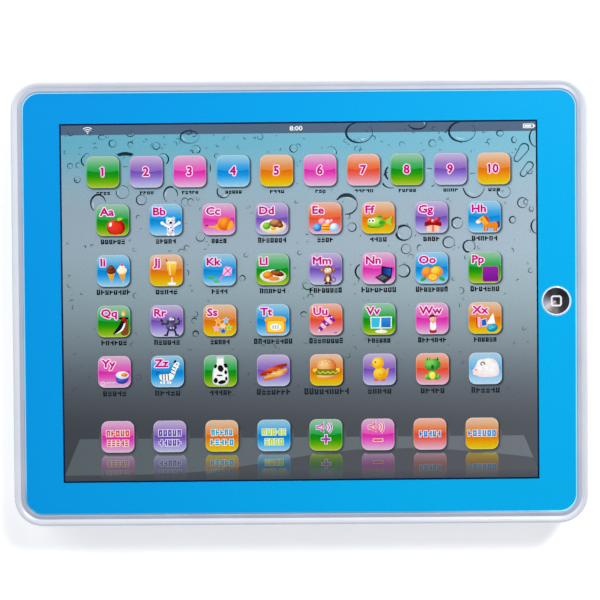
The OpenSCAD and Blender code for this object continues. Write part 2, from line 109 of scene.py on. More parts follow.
# Each key's gloss: three colours from its top edge down, then four from the gloss line to its foot
PLATES = {
    "green": [(150, 192, 166), (96, 180, 116), (41, 163, 70),
              (5, 135, 31), (1, 142, 11), (74, 161, 0), (164, 190, 46)],
    "purple": [(188, 174, 212), (165, 136, 195), (137, 101, 191),
               (107, 71, 166), (118, 82, 183), (153, 133, 207), (186, 187, 220)],
    "pink": [(218, 176, 206), (214, 128, 190), (232, 83, 186),
             (210, 42, 157), (225, 46, 174), (222, 102, 189), (220, 180, 212)],
    "blue": [(152, 198, 220), (98, 175, 226), (29, 150, 221),
             (2, 129, 206), (1, 130, 212), (54, 167, 231), (156, 202, 230)],
    "orange": [(226, 190, 162), (220, 163, 115), (229, 131, 52),
               (216, 106, 18), (223, 112, 1), (232, 154, 4), (222, 196, 30)],
    "coral": [(232, 178, 168), (226, 143, 90), (236, 94, 60),
              (223, 72, 26), (228, 78, 55), (226, 119, 122), (224, 178, 196)],
    "sky": [(168, 205, 226), (140, 194, 226), (108, 182, 228),
            (88, 168, 222), (108, 182, 228), (146, 202, 234), (178, 214, 238)],
}
GLOSS_HEIGHTS = [5.6, 3.2, 0.9, 0.3, -0.8, -3.2, -5.8]     # of those seven colours, on the key

# The screen picture's tones from its top edge down, in the middle of the screen
SCREEN_TONES = [
    (75, (118, 180, 203)), (66, (113, 180, 202)), (50, (149, 180, 195)), (40, (157, 176, 190)),
    (20, (159, 178, 190)), (4, (148, 168, 176)), (-5, (140, 158, 166)), (-17, (125, 139, 146)),
    (-30, (101, 111, 120)), (-38, (90, 97, 104)), (-50, (77, 82, 87)), (-75, (72, 78, 84)),
]


def mix(a, b, t):
    """The colour a fraction t of the way from a to b."""
    return tuple(u + (v - u) * t for u, v in zip(a, b))


def along(stops, t):
    """The colour at t on a list of (position, colour) that runs downward."""
    if t >= stops[0][0]:
        return stops[0][1]
    for (high, a), (low, b) in zip(stops, stops[1:]):
        if t >= low:
            return mix(a, b, (high - t) / (high - low))
    return stops[-1][1]


def linear(colour):
    """Scene-linear values of an sRGB colour."""
    values = [max(v, 0) / 255 for v in colour]
    return [v / 12.92 if v < 0.04045 else ((v + 0.055) / 1.055) ** 2.4 for v in values]


def smooth(t):
    """A soft step from 0 to 1."""
    t = min(max(t, 0), 1)
    return t * t * (3 - 2 * t)


def add_object(name, data):
    """A new object in the scene."""
    holder = bpy.data.objects.new(name, data)
    bpy.context.scene.collection.objects.link(holder)
    return holder


def add_mesh(name, points, faces, material):
    """A new mesh object, from points in millimetres."""
    mesh = bpy.data.meshes.new(name)
    mesh.from_pydata([Vector(p) * MM for p in points], [], faces)
    mesh.materials.append(material)
    return add_object(name, mesh)


# ---------------------------------------------------------------- outlines, in millimetres

def oval_points(x, y, rx, ry, turn=0, count=20):
    c, s = math.cos(math.radians(turn)), math.sin(math.radians(turn))
    around = [math.tau * k / count for k in range(count)]
    return [(x + rx * math.cos(a) * c - ry * math.sin(a) * s,
             y + rx * math.cos(a) * s + ry * math.sin(a) * c) for a in around]


def rounded_points(x, y, w, d, r, steps=6):
    points = []
    for quarter in range(4):
        sx = 1 if quarter in (0, 3) else -1
        sy = 1 if quarter < 2 else -1
        for k in range(steps + 1):
            a = math.pi / 2 * (quarter + k / steps)
            points.append((x + sx * (w / 2 - r) + r * math.cos(a), y + sy * (d / 2 - r) + r * math.sin(a)))
    return points


def box_points(x0, y0, x1, y1):
    return [(x0, y0), (x1, y0), (x1, y1), (x0, y1)]


def bar_points(x0, y0, x1, y1, w):
    long = math.hypot(x1 - x0, y1 - y0)
    nx, ny = (y0 - y1) / long * w / 2, (x1 - x0) / long * w / 2
    return [(x0 + nx, y0 + ny), (x0 - nx, y0 - ny), (x1 - nx, y1 - ny), (x1 + nx, y1 + ny)]


def blob_points(corners, steps=4):
    """A smooth closed curve through the corners."""
    n = len(corners)
    points = []
    for i in range(n):
        a, b, c, d = (corners[(i + k - 1) % n] for k in range(4))
        for k in range(steps):
            t = k / steps
            points.append(tuple(
                0.5 * (2 * q + (r - p) * t + (2 * p - 5 * q + 4 * r - s) * t * t
                       + (3 * q - p - 3 * r + s) * t ** 3)
                for p, q, r, s in zip(a, b, c, d)))
    return points


def lettering(text, size):
    """The triangles of a line of text in the built-in font, as outlines."""
    curve = bpy.data.curves.new("lettering", "FONT")
    curve.body = text
    curve.size = size
    curve.resolution_u = 2
    holder = add_object("lettering", curve)
    graph = bpy.context.evaluated_depsgraph_get()
    mesh = bpy.data.meshes.new_from_object(holder.evaluated_get(graph))
    outlines = [[tuple(mesh.vertices[i].co.xy) for i in p.vertices] for p in mesh.polygons]
    bpy.data.objects.remove(holder)
    bpy.data.curves.remove(curve)
    bpy.data.meshes.remove(mesh)
    return outlines


def thickened(triangles, grow):
    """The triangles with a stroke along their outline, which makes them wider by GROW all round."""
    edges = {(t[k], t[(k + 1) % len(t)]) for t in triangles for k in range(len(t))}
    rim = [e for e in edges if e[::-1] not in edges]
    strokes = [bar_points(*a, *b, 2 * grow) for a, b in sorted(rim)]
    joints = [oval_points(x, y, grow, grow, 0, 8) for x, y in sorted({a for a, _ in rim})]
    return triangles + strokes + joints


# ---------------------------------------------------------------- printed artwork

LEAST_AREA = 5e-6       # outlines smaller than this are dropped
MERGE = 1e-4            # points closer than this become one
CAPITAL_SHARE = 0.685   # of the font's size that a capital's height takes
BOLD = 0.048            # of a capital's height, added all round
PRINT_TURN = 0.0026     # how far the screen's picture is turned on the film, in radians


class Artwork:
    """Flat shapes painted one over another, built as one skin of ink whose faces don't overlap."""

    def __init__(self, x=0, y=0):
        self.x, self.y = x, y
        self.points, self.faces, self.paints = [], [], []
        self.flip = None        # local height of the line that the shapes are mirrored in
        self.tint = None        # changes each colour: tint(x, y, colour)
        self.turn = PRINT_TURN

    def shapes(self, outlines, paint):
        """Outlines in one paint: a colour, a function of local x and y, or None to cut a hole."""
        for outline in outlines:
            if self.flip is not None:
                outline = [(px, 2 * self.flip - py) for px, py in outline]
            area = sum(a[0] * b[1] - b[0] * a[1] for a, b in zip(outline, outline[1:] + outline[:1])) / 2
            if abs(area) < LEAST_AREA:
                continue
            if area < 0:
                outline = outline[::-1]
            first = len(self.points)
            self.points += [Vector(p) for p in outline]
            self.faces.append(list(range(first, len(self.points))))
            self.paints.append((paint, self.flip, self.tint))

    def shape(self, outline, paint):
        self.shapes([outline], paint)

    def oval(self, x, y, rx, ry, paint, turn=0):
        self.shape(oval_points(x, y, rx, ry, turn), paint)

    def ovals(self, places, rx, ry, paint, turn=0):
        for x, y in places:
            self.oval(x, y, rx, ry, paint, turn)

    def ball(self, x, y, rx, ry, light, dark, turn=0):
        """An oval that is lit from its upper left."""
        def paint(px, py):
            far = math.hypot((px - x + 0.3 * rx) / rx, (py - y - 0.35 * ry) / ry)
            return mix(light, dark, smooth((far - 0.2) / 1.1))
        for scale in (1, 0.72, 0.4):
            self.shape(oval_points(x, y, rx * scale, ry * scale, turn), paint)

    def blob(self, corners, paint):
        self.shape(blob_points(corners), paint)

    def bar(self, x0, y0, x1, y1, w, paint):
        """A straight stroke with square ends."""
        self.shape(bar_points(x0, y0, x1, y1, w), paint)

    def bars(self, lines, w, paint):
        for line in lines:
            self.bar(*line, w, paint)

    def arc(self, x, y, rx, ry, w, start, sweep, paint, thin=1, steps=10):
        """Part of a ring. Its ends are THIN times its full width."""
        rims = []
        for k in range(steps + 1):
            a = math.radians(start + sweep * k / steps)
            half = w / 2 * (thin + (1 - thin) * math.sin(math.pi * k / steps))
            rims.append([(x + (rx + s * half) * math.cos(a), y + (ry + s * half) * math.sin(a))
                         for s in (-1, 1)])
        self.shapes([[a[0], a[1], b[1], b[0]] for a, b in zip(rims, rims[1:])], paint)

    def write(self, text, x, y, height, ink, halo, halo_w, stretch=1.0, centred=True):
        """A line of text with a halo; x is its middle or its left end, and y is its foot."""
        bold = BOLD * height
        body = lettering(text, (height - 2 * bold) / CAPITAL_SHARE)
        spots = [p for outline in body for p in outline]
        left, right = (end(p[0] for p in spots) for end in (min, max))
        shift = x + (0 if centred else bold) - stretch * ((left + right) / 2 if centred else left)
        body = [[(px * stretch + shift, py + y + bold) for px, py in o] for o in body]
        self.shapes(thickened(body, bold + halo_w), halo)
        self.shapes(thickened(body, bold), ink)

    @staticmethod
    def colour(layer, x, y):
        """A layer's colour at one place: its paint, mirrored and tinted as it was when drawn."""
        paint, flip, tint = layer
        painted = paint(x, y if flip is None else 2 * flip - y) if callable(paint) else paint
        return tint(x, y, painted) if tint else painted

    def build(self, name, level=0, body="case", surface=None):
        """Makes the skin, LEVEL skins above the film or above SURFACE, a height at each x and y."""
        spots, _, triangles, _, _, sources = delaunay_2d_cdt(self.points, [], self.faces, 1, MERGE)
        kept = [(t, self.paints[max(s)]) for t, s in zip(triangles, sources) if s]
        kept = [(t, layer) for t, layer in kept if layer[0] is not None]
        count = len(spots)
        places = [(self.x + p.x, self.y + p.y) for p in spots]
        if not surface:
            places = [(x - y * self.turn, y + x * self.turn) for x, y in places]
        base = [surface(*p) if surface else FACE_Z for p in places]
        verts = [(x, y, z + (level + up) * SKIN) for up in (1, 0) for (x, y), z in zip(places, base)]
        edges = {(t[k], t[(k + 1) % 3]): layer for t, layer in kept for k in range(3)}
        faces = list(kept)
        faces += [([v + count for v in reversed(t)], layer) for t, layer in kept]
        faces += [([b, a, a + count, b + count], layer)
                  for (a, b), layer in edges.items() if (b, a) not in edges]
        piece = add_mesh(name, verts, [f for f, _ in faces], print_ink)
        ink = piece.data.color_attributes.new(name="ink", type="FLOAT_COLOR", domain="CORNER")
        values = []
        for corners, layer in faces:
            for v in corners:
                p = spots[v % count]
                values += surface_colour(self.colour(layer, p.x, p.y)) + [1.0]
        ink.data.foreach_set("color", values)
        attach(piece, body)
        return piece


INK_LIGHT = 1.1         # how bright the light makes white ink
INK_VEIL = 0.005        # how much the film's gloss adds


def surface_colour(colour):
    """The ink's own colour for one that is seen under the scene's light."""
    return [min(max((v - INK_VEIL) / INK_LIGHT, 0.0), 1.0) for v in linear(colour)]


# ---------------------------------------------------------------- materials

class Finish:
    """A Principled material with procedural layers. Sizes are in millimetres."""

    def __init__(self, name, roughness=0.4, **values):
        self.material = bpy.data.materials.new(name)
        self.material.use_nodes = True
        self.tree = self.material.node_tree
        self.surface = self.tree.nodes["Principled BSDF"]
        self.surface.inputs["Roughness"].default_value = roughness
        for key, value in values.items():
            self.surface.inputs[key.replace("_", " ")].default_value = value
        self.place = self.add("TexCoord").outputs["Object"]

    def add(self, kind, inputs=(), **settings):
        node = self.tree.nodes.new("ShaderNode" + kind)
        for key, value in settings.items():
            setattr(node, key, value)
        for key, value in dict(inputs).items():
            self.feed(node.inputs[key], value)
        return node

    def feed(self, socket, value):
        if isinstance(value, bpy.types.NodeSocket):
            self.tree.links.new(value, socket)
        else:
            socket.default_value = value

    def noise(self, size, detail=3.0, place=None):
        """Soft noise whose features are about SIZE across."""
        inputs = {"Vector": place or self.place, "Scale": 1 / (size * MM), "Detail": detail}
        return self.add("TexNoise", inputs).outputs["Fac"]

    def math(self, operation, a, b=0.0):
        return self.add("Math", {0: a, 1: b}, operation=operation).outputs[0]

    def axis(self, letter):
        """One coordinate in millimetres."""
        split = self.add("SeparateXYZ", {0: self.place})
        return self.math("MULTIPLY", split.outputs[letter], 1 / MM)

    def ramp(self, factor, *stops, kind="LINEAR"):
        """A colour from (position, sRGB colour) stops."""
        node = self.add("ValToRGB", {"Fac": factor})
        node.color_ramp.interpolation = kind
        elements = node.color_ramp.elements
        while len(elements) < len(stops):
            elements.new(0.5)
        for element, (position, colour) in zip(elements, stops):
            element.position = position
            element.color = linear(colour) + [1.0]
        return node.outputs["Color"]

    def blend(self, factor, a, b, kind="MIX"):
        node = self.add("Mix", data_type="RGBA", blend_type=kind)
        for socket, value in zip((node.inputs[0], node.inputs[6], node.inputs[7]), (factor, a, b)):
            self.feed(socket, linear(value) + [1.0] if isinstance(value, tuple) else value)
        return node.outputs[2]

    def colour(self, value):
        self.feed(self.surface.inputs["Base Color"], value)
        return self

    def roughen(self, factor, low, high):
        """Roughness from LOW to HIGH as the factor goes from 0.3 to 0.7."""
        spread = self.add("MapRange", {"Value": factor, "From Min": 0.3, "From Max": 0.7,
                                       "To Min": low, "To Max": high})
        self.feed(self.surface.inputs["Roughness"], spread.outputs["Result"])
        return self

    def bump(self, height, depth, edge=0.0):
        """Relief DEPTH deep, with its edges eased over EDGE."""
        node = self.add("Bump", {"Height": height, "Strength": 1.0, "Distance": depth * MM})
        if edge:
            eased = self.add("Bevel", {"Radius": edge * MM}, samples=4)
            self.feed(node.inputs["Normal"], eased.outputs["Normal"])
        self.feed(self.surface.inputs["Normal"], node.outputs["Normal"])
        return self


def moulded(name, light, dark, roughness, grain=0.4, depth=0.01, edge=0.25, **values):
    """Moulded plastic: faint flow marks in its colour, and a fine grain in its surface."""
    skin = Finish(name, roughness, **values)
    flow = skin.noise(14, 4)
    fine = skin.noise(grain, 2)
    skin.colour(skin.ramp(flow, (0.3, dark), (0.7, light)))
    skin.roughen(fine, roughness * 0.85, roughness * 1.25)
    return skin.bump(fine, depth, edge)


def bright_metal(name, light, dark, roughness, streak=(1, 1, 1), edge=0.08):
    """Metal with fine streaks, long in the direction where STREAK is small."""
    skin = Finish(name, roughness, Metallic=1.0)
    stretched = skin.add("Mapping", {"Vector": skin.place, "Scale": streak}).outputs[0]
    lines = skin.noise(0.3, 3, stretched)
    skin.colour(skin.ramp(skin.noise(3, 3), (0.3, dark), (0.7, light)))
    skin.roughen(lines, roughness * 0.7, roughness * 1.5)
    return skin.bump(lines, 0.004, edge)


def printed_ink():
    """Ink under the film's gloss: the colour is the artwork's, with a fine grain."""
    skin = Finish("print_ink", 0.26, Specular_IOR_Level=0.17)
    drawn = skin.add("VertexColor", layer_name="ink").outputs["Color"]
    grain = skin.ramp(skin.noise(0.7, 4), (0.35, (246, 246, 246)), (0.65, (255, 255, 255)))
    return skin.colour(skin.blend(1.0, drawn, grain, "MULTIPLY"))


# Along the face, in millimetres: where the painted shade on the film's edge fades out, and where its painted
# glow turns bright
SHADE_END_Y, SHADE_END_X = (-84.0, -76.0), (50.0, 110.0)
BRIGHT_Y, BRIGHT_X = (76.0, 86.0), (98.0, 112.0)
# How strong the edge's painted glow is all round, and how much more it has where it turns bright
GLOW, BRIGHT_GLOW = 0.14, 0.44


def film_edge():
    """The film's edge, a light cyan painted as a highlight line: it glows with painted light, more towards
    the top and right edges of the face, and has painted shade, without glow, along the left part of its foot.
    """
    skin = Finish("film_edge", 0.16, Emission_Color=(0.31, 0.68, 0.91, 1))

    def rise(letter, low, high):
        span = {"Value": skin.axis(letter), "From Min": low, "From Max": high}
        return skin.add("MapRange", span).outputs[0]

    # Painted shade: 0 along the left part of the foot, where the edge is darker and doesn't glow
    clear = skin.math("MAXIMUM", rise("Y", *SHADE_END_Y), rise("X", *SHADE_END_X))
    bright = skin.math("MAXIMUM", rise("Y", *BRIGHT_Y), skin.math("MULTIPLY", rise("X", *BRIGHT_X), 0.7))
    glow = skin.math("ADD", skin.math("MULTIPLY", bright, BRIGHT_GLOW), GLOW)
    skin.feed(skin.surface.inputs["Emission Strength"], skin.math("MULTIPLY", glow, clear))
    # Its light cyan colour paints a highlight line, and the painted shade darkens it along the foot
    cloud = skin.ramp(skin.noise(14, 4), (0.3, (130, 196, 226)), (0.7, (150, 206, 232)))
    skin.colour(skin.blend(clear, (84, 150, 190), cloud))
    fine = skin.noise(1.2, 2)
    return skin.roughen(fine, 0.14, 0.2).bump(fine, 0.002, 0.05)


def circuit_board():
    skin = Finish("board_mask", 0.32)
    tracks = skin.add("TexBrick", {"Vector": skin.place, "Scale": 1.0, "Mortar Size": 0.0005,
                                   "Brick Width": 0.009, "Row Height": 0.0035})
    tracks.offset = 0.37
    mask = skin.ramp(skin.noise(6), (0.3, (18, 84, 46)), (0.7, (26, 104, 58)))
    lines = skin.math("SUBTRACT", 1.0, tracks.outputs["Fac"])
    skin.colour(skin.blend(lines, (48, 140, 84), mask))
    return skin.bump(tracks.outputs["Fac"], 0.03)


# Painted sheen of spun metal round the button's middle, bright to the lower left and dark to the right and
# top, at turns counted from 0 to 1
SPUN_SHEEN = [
    (0.0, (140, 142, 168)), (0.04, (178, 178, 190)), (0.09, (214, 204, 204)), (0.14, (168, 154, 158)),
    (0.19, (110, 112, 112)), (0.25, (122, 106, 116)), (0.31, (58, 46, 54)), (0.4, (34, 26, 38)),
    (0.5, (32, 42, 46)), (0.6, (14, 12, 26)), (0.7, (22, 20, 32)), (0.78, (54, 54, 60)),
    (0.86, (34, 36, 44)), (0.93, (92, 78, 86)), (1.0, (140, 142, 168)),
]


def spun_button():
    """The home button's dark face, with a painted sheen of spun metal round its middle."""
    skin = Finish("home_button_face", 0.3)
    centred = skin.add("Mapping", {"Vector": skin.place, "Location": (-HOME_X * MM, 0, 0)}).outputs[0]
    round_it = skin.add("TexGradient", {"Vector": centred}, gradient_type="RADIAL").outputs["Fac"]
    # Painted sheen: the colour goes by the turn round the button's middle
    bands = skin.ramp(round_it, *SPUN_SHEEN)
    fine = skin.noise(0.25)
    grain = skin.ramp(fine, (0.3, (222, 222, 222)), (0.7, (255, 255, 255)))
    skin.colour(skin.blend(1.0, bands, grain, "MULTIPLY"))
    return skin.roughen(fine, 0.24, 0.38).bump(fine, 0.003, 0.1)


SLEEVE_SPAN = 60        # millimetres of X that a battery's colours run over


def cell_sleeve(nub_side):
    """A battery's sleeve: dark, with a copper band at the end that has the nub."""
    skin = Finish("cell_sleeve_%s" % ("right" if nub_side > 0 else "left"), 0.28, Metallic=0.5)
    reach = skin.math("MULTIPLY", skin.axis("X"), nub_side / SLEEVE_SPAN)
    along_cell = skin.math("ADD", reach, 0.5)
    print_on = skin.ramp(along_cell, (0.0, (60, 64, 66)), (0.12, (36, 38, 42)), (0.7, (30, 32, 36)),
                         (0.71, (196, 124, 62)), (0.86, (210, 140, 76)), (0.87, (190, 190, 194)))
    fine = skin.noise(0.5)
    return skin.colour(print_on).roughen(fine, 0.22, 0.34).bump(fine, 0.004, 0.2)


BAND_PITCH = 1.6


def banded_resistor():
    skin = Finish("resistor_paint", 0.4)
    above_zero = skin.math("ADD", skin.axis("Y"), 250 * BAND_PITCH)
    along_body = skin.math("MODULO", above_zero, BAND_PITCH)
    bands = skin.ramp(skin.math("DIVIDE", along_body, BAND_PITCH), (0.0, (214, 184, 140)),
                      (0.62, (120, 60, 30)), (0.82, (214, 184, 140)), kind="CONSTANT")
    fine = skin.noise(0.4)
    return skin.colour(bands).roughen(fine, 0.3, 0.5).bump(fine, 0.01, 0.1)


def membrane_sheet():
    """Milky polyester with silver tracks."""
    skin = Finish("membrane_sheet", 0.35)
    tracks = skin.add("TexBrick", {"Vector": skin.place, "Scale": 1.0, "Mortar Size": 0.0004,
                                   "Brick Width": 0.0222, "Row Height": 0.0053})
    cloud = skin.ramp(skin.noise(9), (0.3, (196, 204, 208)), (0.7, (214, 220, 224)))
    skin.colour(skin.blend(tracks.outputs["Fac"], cloud, (166, 168, 172)))
    return skin.bump(tracks.outputs["Fac"], 0.01)


def paper_cone():
    skin = Finish("speaker_paper", 0.85)
    fibres = skin.noise(0.6, 6)
    skin.colour(skin.ramp(fibres, (0.3, (38, 38, 42)), (0.7, (62, 62, 66))))
    return skin.bump(fibres, 0.06)


print_ink = printed_ink().material

FINISHES = {
    ("rear_cover", "battery_door"): moulded("white_shell", (211, 214, 224), (206, 210, 220), 0.3),
    ("front_frame",): moulded("grey_frame", (178, 183, 197), (169, 175, 190), 0.34, 0.5),
    ("face_film",): film_edge(),
    ("membrane_top_sheet", "membrane_spacer", "membrane_bottom_sheet", "membrane_tail"):
        membrane_sheet(),
    ("tail_connector",): moulded("ivory_plastic", (236, 228, 206), (226, 216, 190), 0.45, edge=0.1),
    ("main_board", "home_switch_board"): circuit_board(),
    ("sound_chip",): moulded("black_resin", (34, 34, 36), (20, 20, 22), 0.22, 0.8, 0.02, 0.1),
    ("capacitors",): moulded("capacitor_sleeve", (34, 40, 86), (24, 28, 66), 0.3, 0.8, 0.006, 0.2),
    ("resistors",): banded_resistor(),
    ("board_screws", "home_board_screws", "speaker_clamps", "speaker_screws", "battery_door_screw",
     "case_screws"): bright_metal("steel_screw", (214, 216, 222), (176, 180, 188), 0.3),
    ("home_ring",): moulded("bright_ring", (240, 246, 250), (226, 236, 244), 0.24, 1.0, 0.002, 0.05,
                            Metallic=0.15),
    ("home_button",): spun_button(),
    ("home_plunger", "home_switch"): moulded("black_plastic", (40, 40, 44), (26, 26, 30), 0.45, edge=0.1),
    ("speaker_frame", "speaker_magnet"): bright_metal("speaker_steel", (168, 172, 180), (128, 132, 142),
                                                      0.4),
    ("speaker_cone",): paper_cone(),
    ("battery_contacts", "battery_springs"): bright_metal("contact_metal", (226, 222, 210),
                                                          (196, 190, 176), 0.26, (1, 0.1, 1)),
    ("battery_cell_1", "battery_cell_3"): cell_sleeve(1),
    ("battery_cell_2",): cell_sleeve(-1),
    ("battery_lead_red",): moulded("red_lead", (206, 34, 30), (176, 22, 22), 0.42, 0.5, 0.01, 0),
    ("battery_lead_black",): moulded("black_lead", (38, 38, 42), (24, 24, 28), 0.42, 0.5, 0.01, 0),
    ("speaker_leads",): moulded("grey_lead", (138, 140, 148), (112, 116, 124), 0.42, 0.5, 0.01, 0),
    ("home_switch_leads",): moulded("yellow_lead", (236, 198, 50), (214, 172, 34), 0.42, 0.5, 0.01, 0),
}
for names, skin in FINISHES.items():
    for name in names:
        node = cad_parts[name]
        if not node.material_slots:
            node.data.materials.append(None)
        for slot in node.material_slots:
            slot.material = skin.material


# ---------------------------------------------------------------- the film's border and screen

SCREEN = (-99.6, -74.5, 99.4, 75.3)     # left, foot, right and top of the screen's outline
OUTLINE_W = 0.7
OUTLINE_INK = (14, 34, 72)
RING_GAP = 0.25         # between the home button's ring and the print
# Painted light and shade across the screen picture: lighter towards its right edge, darker towards its left
SIDE_LIGHT = 9          # how much brighter the screen is at its right edge than in its middle
SIDE_RED = 1.5          # how many times as much in the red channel, high on the screen


def screen_tone(x, y):
    """The screen picture's colour: sky above, dark below, with painted light that makes it a little lighter
    to the right and darker to the left.
    """
    red, green, blue = along(SCREEN_TONES, y)
    light = SIDE_LIGHT * x / 100
    high = smooth((y - 40) / 30)
    return tuple(max(v, 0) for v in (red + light * (SIDE_RED * high + 1 - high), green + light, blue + light))


def border_blue(x, y):
    """The blue border, one even blue with painted light: a little lighter and greener to the right and along
    its foot.
    """
    return mix((1, 151, 228), (2, 174, 236), smooth(0.6 + x / 260 - y / 800))


def grid(x0, y0, x1, y1, columns, rows):
    xs = [x0 + (x1 - x0) * k / columns for k in range(columns + 1)]
    ys = [y0 + (y1 - y0) * k / rows for k in range(rows + 1)]
    return [box_points(a, c, b, d) for a, b in zip(xs, xs[1:]) for c, d in zip(ys, ys[1:])]


def make_border():
    """The blue print all over the film, with a hole for the home button's ring."""
    art = Artwork()
    art.turn = 0
    art.shapes(grid(-PRINT_W / 2 + PRINT_R, -PRINT_D / 2, PRINT_W / 2 - PRINT_R, PRINT_D / 2, 12, 8),
               border_blue)
    art.shape(rounded_points(0, 0, PRINT_W, PRINT_D, PRINT_R, 10), border_blue)
    art.shape(oval_points(HOME_X, 0, HOME_R + RING_GAP, HOME_R + RING_GAP, 0, 48), None)
    art.build("print_border", BORDER_LEVEL)


BEAD_R = 0.42           # of the bead of clear film round the print
CASE_R = 12.0           # corner radius of the case's outline
# The lip's inner slope: distance in from the case's outline, and depth below the lip's top
LIP_SLOPE = [(1.55, 1.1), (1.55, 0.1), (1.9, 0.2), (2.3, 0.42), (2.6, 0.6), (2.9, 0.8), (2.9, 1.1)]


def make_ring(name, profile, width, depth, radius, top, node):
    """A closed ring round a rounded outline. PROFILE holds distances in from it and depths below TOP."""
    loops = []
    for inset, below in profile:
        outline = rounded_points(0, 0, width - 2 * inset, depth - 2 * inset, radius - inset, 12)
        loops.append([(x, y, top - below) for x, y in outline])
    count = len(loops[0])
    faces = [(a * count + k, a * count + (k + 1) % count, b * count + (k + 1) % count, b * count + k)
             for a, b in zip(range(len(loops)), [*range(1, len(loops)), 0]) for k in range(count)]
    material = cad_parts[node].data.materials[0]
    ring = add_mesh(name, [p for loop in loops for p in loop], faces, material)
    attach(ring, "case")
    return ring


def make_rings():
    """The clear bead that seals the film's edge, a quarter round in the edge's finish whose painted glow
    makes a highlight line, and the lip's inner slope.
    """
    turns = [math.radians(a) for a in (0, 22, 45, 67, 90)]
    bead = [(0.0, 0.0)] + [(BEAD_R * math.sin(a), -BEAD_R * math.cos(a)) for a in turns]
    edge = make_ring("film_bead", bead, FILM_W, FILM_D, PRINT_R + PRINT_MARGIN, FACE_Z, "face_film")
    low, high = (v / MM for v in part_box("rear_cover"))
    slope = make_ring("lip_slope", LIP_SLOPE, high.x - low.x, high.y - low.y, CASE_R, high.z, "rear_cover")


def make_screen():
    """The shaded picture behind the keys, and the dark line round it."""
    x0, y0, x1, y1 = SCREEN
    art = Artwork()
    art.shapes(grid(x0, y0, x1, y1, 8, 40), screen_tone)
    art.build("print_screen", SCREEN_LEVEL)

    line = Artwork()
    rim = OUTLINE_W
    for side in (box_points(x0, y0, x1, y0 + rim), box_points(x0, y1 - rim, x1, y1),
                 box_points(x0, y0, x0 + rim, y1), box_points(x1 - rim, y0, x1, y1)):
        line.shape(side, OUTLINE_INK)
    line.build("print_screen_outline", LINE_LEVEL)


STATUS_FOOT = 70.6
STATUS_TINT = (74, 84, 108)


def status_tone(x, y):
    return mix(screen_tone(x, y), STATUS_TINT, 0.8)


def make_status_bar():
    """The thin bar along the screen's top edge: a radio symbol, a clock time and a battery symbol."""
    x0, _, x1, y1 = SCREEN
    art = Artwork()
    art.shapes(grid(x0 + OUTLINE_W, STATUS_FOOT, x1 - OUTLINE_W, y1 - OUTLINE_W, 6, 1), status_tone)
    pale = (232, 238, 244)
    for reach in (0.9, 1.7, 2.5):
        art.arc(-87.8, 71.3, reach, reach, 0.38, 45, 90, pale, 1, 6)
    art.oval(-87.8, 71.4, 0.32, 0.32, pale)
    art.write("8:00", -1.0, 71.6, 2.0, pale, STATUS_TINT, halo_w=0.1, stretch=1.2)
    art.shape(rounded_points(95.7, 72.7, 4.6, 1.9, 0.3, 2), pale)
    art.shape(box_points(93.9, 72.1, 97.5, 73.3), (70, 96, 122))
    art.shape(box_points(94.1, 72.25, 96.9, 73.15), pale)
    art.shape(box_points(98.0, 72.3, 98.5, 73.1), pale)
    art.build("print_status_bar", LINE_LEVEL)


# The shelf's outline from left to right: where its left side ends, its back corners, its right side's end
SHELF = [(-98.9, -71.4), (-92.6, -56.2), (93.0, -56.3), (99.0, -70.5)]
# Where the sheen on the shelf ends
SHEEN = [(-98.9, -71.4), (-75, -71.4), (-52, -70.9), (-38, -69.9), (-25, -68.2), (-10, -65.8), (4, -63.7),
         (23, -61.6), (45, -61.2), (62, -61.9), (80, -63.5), (99, -65.7)]
SHELF_CUTS = {-97, -95, 86, 90, 95, 97}     # x where the shelf is cut too, for its shading
SHELF_SPLIT = -69.8                         # height of the cut through its dark front


def level_at(line, x):
    """The height at x of a line of points that runs from left to right."""
    for (x0, y0), (x1, y1) in zip(line, line[1:]):
        if x <= x1:
            return y0 + (y1 - y0) * (x - x0) / (x1 - x0)
    return line[-1][1]


def shelf_light(x, y):
    return mix((92, 101, 105), (113, 120, 126), (x + 95) / 190)


def shelf_dark(x, y):
    return mix(mix((74, 79, 84), (90, 93, 99), (x + 95) / 190), (66, 70, 76), smooth((-70 - y) / 7))


def shelf_tone(x, y):
    """The glass shelf: a lit sheen at its back and left, and a darker front."""
    if y > SHELF[1][1]:
        return screen_tone(x, y)
    return shelf_light(x, y) if y > level_at(SHEEN, x) else shelf_dark(x, y)


def make_shelf():
    """The glass shelf across the screen's foot, in strips that are each cut at the sheen's end."""
    foot = SCREEN[1] + OUTLINE_W
    xs = sorted({x for x, _ in SHEEN[1:-1] + SHELF} | SHELF_CUTS)
    art = Artwork()
    for a, b in zip(xs, xs[1:]):
        back = [level_at(SHELF, x) for x in (a, b)]
        sheen = [min(level_at(SHEEN, x), top) for x, top in zip((a, b), back)]
        split = [min(level, SHELF_SPLIT) for level in sheen]
        for high, low, paint in ((back, sheen, shelf_light), (sheen, split, shelf_dark),
                                 (split, (foot, foot), shelf_dark)):
            art.shape([(a, low[0]), (b, low[1]), (b, high[1]), (a, high[0])], paint)
    art.build("print_shelf", LINE_LEVEL)


